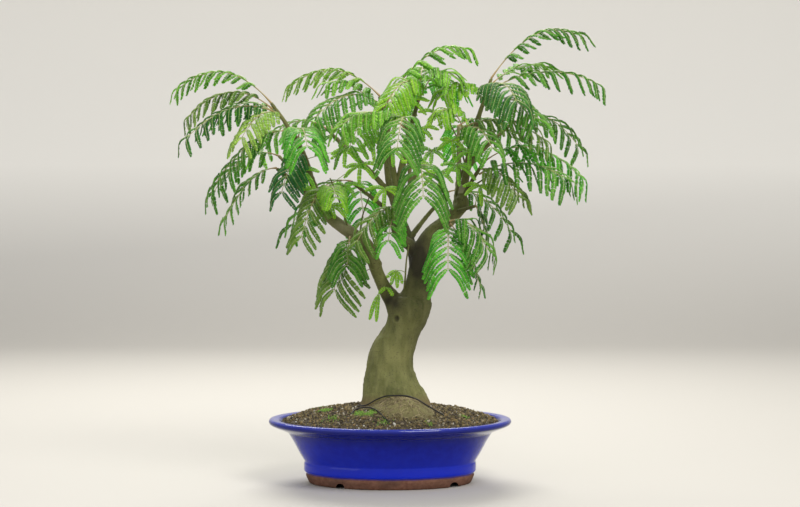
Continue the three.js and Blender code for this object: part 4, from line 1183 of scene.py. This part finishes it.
def make_grains(grains):
    near = GRAINS // 2
    for name, count, keep in (
        ("grit_front", near, lambda x, y: clear_of_trunk(x, y) and y < -6 and on_pad(x, y) > 0.9),
        ("grit_back", GRAINS - near, lambda x, y: clear_of_trunk(x, y) and y > -10),
    ):
        shape = Shape()
        spots = scattered(count, keep)
        sizes = np.clip(random.lognormal(0.28, 0.38, count), 0.7, 3.0)
        tones = np.clip(random.beta(2.0, 2.3, count) + (random.random(count) < 0.03) * 0.5, 0, 1)
        spots[:, 2] += sizes * 0.35
        add_grains(shape, spots, sizes, tones)
        shape.piece(name, [grains], smooth=False)


def make_ground_cover(moss, fibre):
    """Moss in soft tufts, and rootlets over the root pad."""
    shape = Shape()
    for (x, y), spread, count in MOSS:
        for dx, dy in random.normal(0, 0.5, (count, 2)) * spread:
            if np.hypot((x + dx) / SOIL_SIDE, (y + dy) / (SOIL_SIDE - NARROWER)) > 0.96:
                continue
            foot = np.array([x + dx, y + dy, float(soil_height(x + dx, y + dy))])
            lean = np.array([*random.normal(0, 0.8, 2), random.uniform(1.4, 3.2)])
            points, faces = tube([foot - UP, foot + lean * 0.5, foot + lean], [0.75, 0.6, 0.12], 4)
            shape.add(points, faces, 0, random.random())
    shape.piece("moss_tufts", [moss])
    shape = Shape()
    for _ in range(620):
        x = PAD_MIDDLE[0] + random.normal(0, 0.42) * PAD_HALVES[0]
        y = PAD_MIDDLE[1] + random.normal(0, 0.45) * PAD_HALVES[1]
        heading = random.uniform(0, 6.3)
        line = []
        for _ in range(6):
            if on_pad(x, y) < 1.25:
                line.append((x, y, float(soil_height(x, y)) + random.uniform(-0.5, 1.1)))
            heading += random.normal(0, 0.5)
            x, y = x + 3.2 * math.cos(heading), y + 2.6 * math.sin(heading)
        if len(line) > 3:
            shape.add(*tube(line, random.uniform(0.22, 0.55), 3), 0, random.random())
    shape.piece("rootlets", [fibre])


# Wires.
def make_wires(paint):
    for name, line in WIRES.items():
        curve = spline(line, 90)
        shape = Shape()
        shape.add(*tube(curve, WIRE_RADIUS, 12))
        shape.piece(name + "_bent", [paint], [name])


# Camera, light and floor.
def make_studio():
    scene = bpy.context.scene
    camera = bpy.data.cameras.new("camera")
    camera.sensor_width = 36
    camera.lens = 36 * FOCAL / PICTURE[0]
    camera.clip_end = 50
    holder = linked("camera", camera)
    holder.location = place(CAMERA)
    pitch = math.atan((PICTURE[1] / 2 - HORIZON) / FOCAL)
    holder.rotation_euler = (math.pi / 2 - pitch, 0, 0)
    scene.camera = holder
    for name, (location, target, size, power, colour) in LIGHTS.items():
        light = bpy.data.lights.new(name, "AREA")
        light.shape = "RECTANGLE"
        light.size, light.size_y = size
        light.energy = power
        light.color = colour
        made = linked(name, light)
        made.location = location
        aim = Vector(target) - Vector(location)
        made.rotation_euler = aim.to_track_quat("-Z", "Y").to_euler()
    world = bpy.data.worlds.new("studio")
    world.use_nodes = True
    world.node_tree.nodes["Background"].inputs["Color"].default_value = (*SKY, 1)
    world.node_tree.nodes["Background"].inputs["Strength"].default_value = SKY_STRENGTH
    scene.world = world
    scene.view_settings.view_transform = "Standard"
    paint = Paint("floor", Roughness=0.7)
    greys = [(0.0, (0.44, 0.42, 0.39)), (0.6, (0.90, 0.87, 0.81))]
    paint.link(paint.ramp(paint.height(), greys), "Base Color")
    bend = np.linspace(0, math.pi / 2, 24)
    sweep = [(-9, 0)] + [(2.6 + 1.6 * math.sin(t), 1.6 - 1.6 * math.cos(t)) for t in bend]
    sweep.append((4.2, 7))
    points = [(x, y, z) for y, z in sweep for x in (-9, 9)]
    faces = [(i, i + 1, i + 3, i + 2) for i in range(0, 2 * len(sweep) - 2, 2)]
    mesh = bpy.data.meshes.new("floor")
    mesh.from_pydata(points, [], faces)
    mesh.polygons.foreach_set("use_smooth", [True] * len(faces))
    mesh.materials.append(paint.material)
    floor = linked("floor", mesh)


make_studio()
stalk = stalk_paint()
make_young_leaves(make_leaves(stalk), stalk)
make_tree(bark_paint())
make_pot(glaze_paint())
make_soil(earth_paint())
make_grains(grain_paint())
moss = toned_paint("moss", 0.9, (0.045, 0.095, 0.012), (0.22, 0.42, 0.05))
fibre = toned_paint("rootlets", 0.85, (0.095, 0.070, 0.032), (0.40, 0.33, 0.18))
make_ground_cover(moss, fibre)
darks = [(0.35, (0.006, 0.005, 0.005)), (0.7, (0.022, 0.019, 0.016))]
make_wires(flecked_paint("wire", 160, darks, Metallic=0.3, Roughness=0.5))
blacks = [(0.3, (0.010, 0.012, 0.010)), (0.7, (0.03, 0.034, 0.03))]
plastic = flecked_paint("plastic", 200, blacks, Roughness=0.6)
for name in ("drain_mesh_left", "drain_mesh_right"):
    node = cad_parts[name]
    node.data.materials.clear()
    node.data.materials.append(plastic)
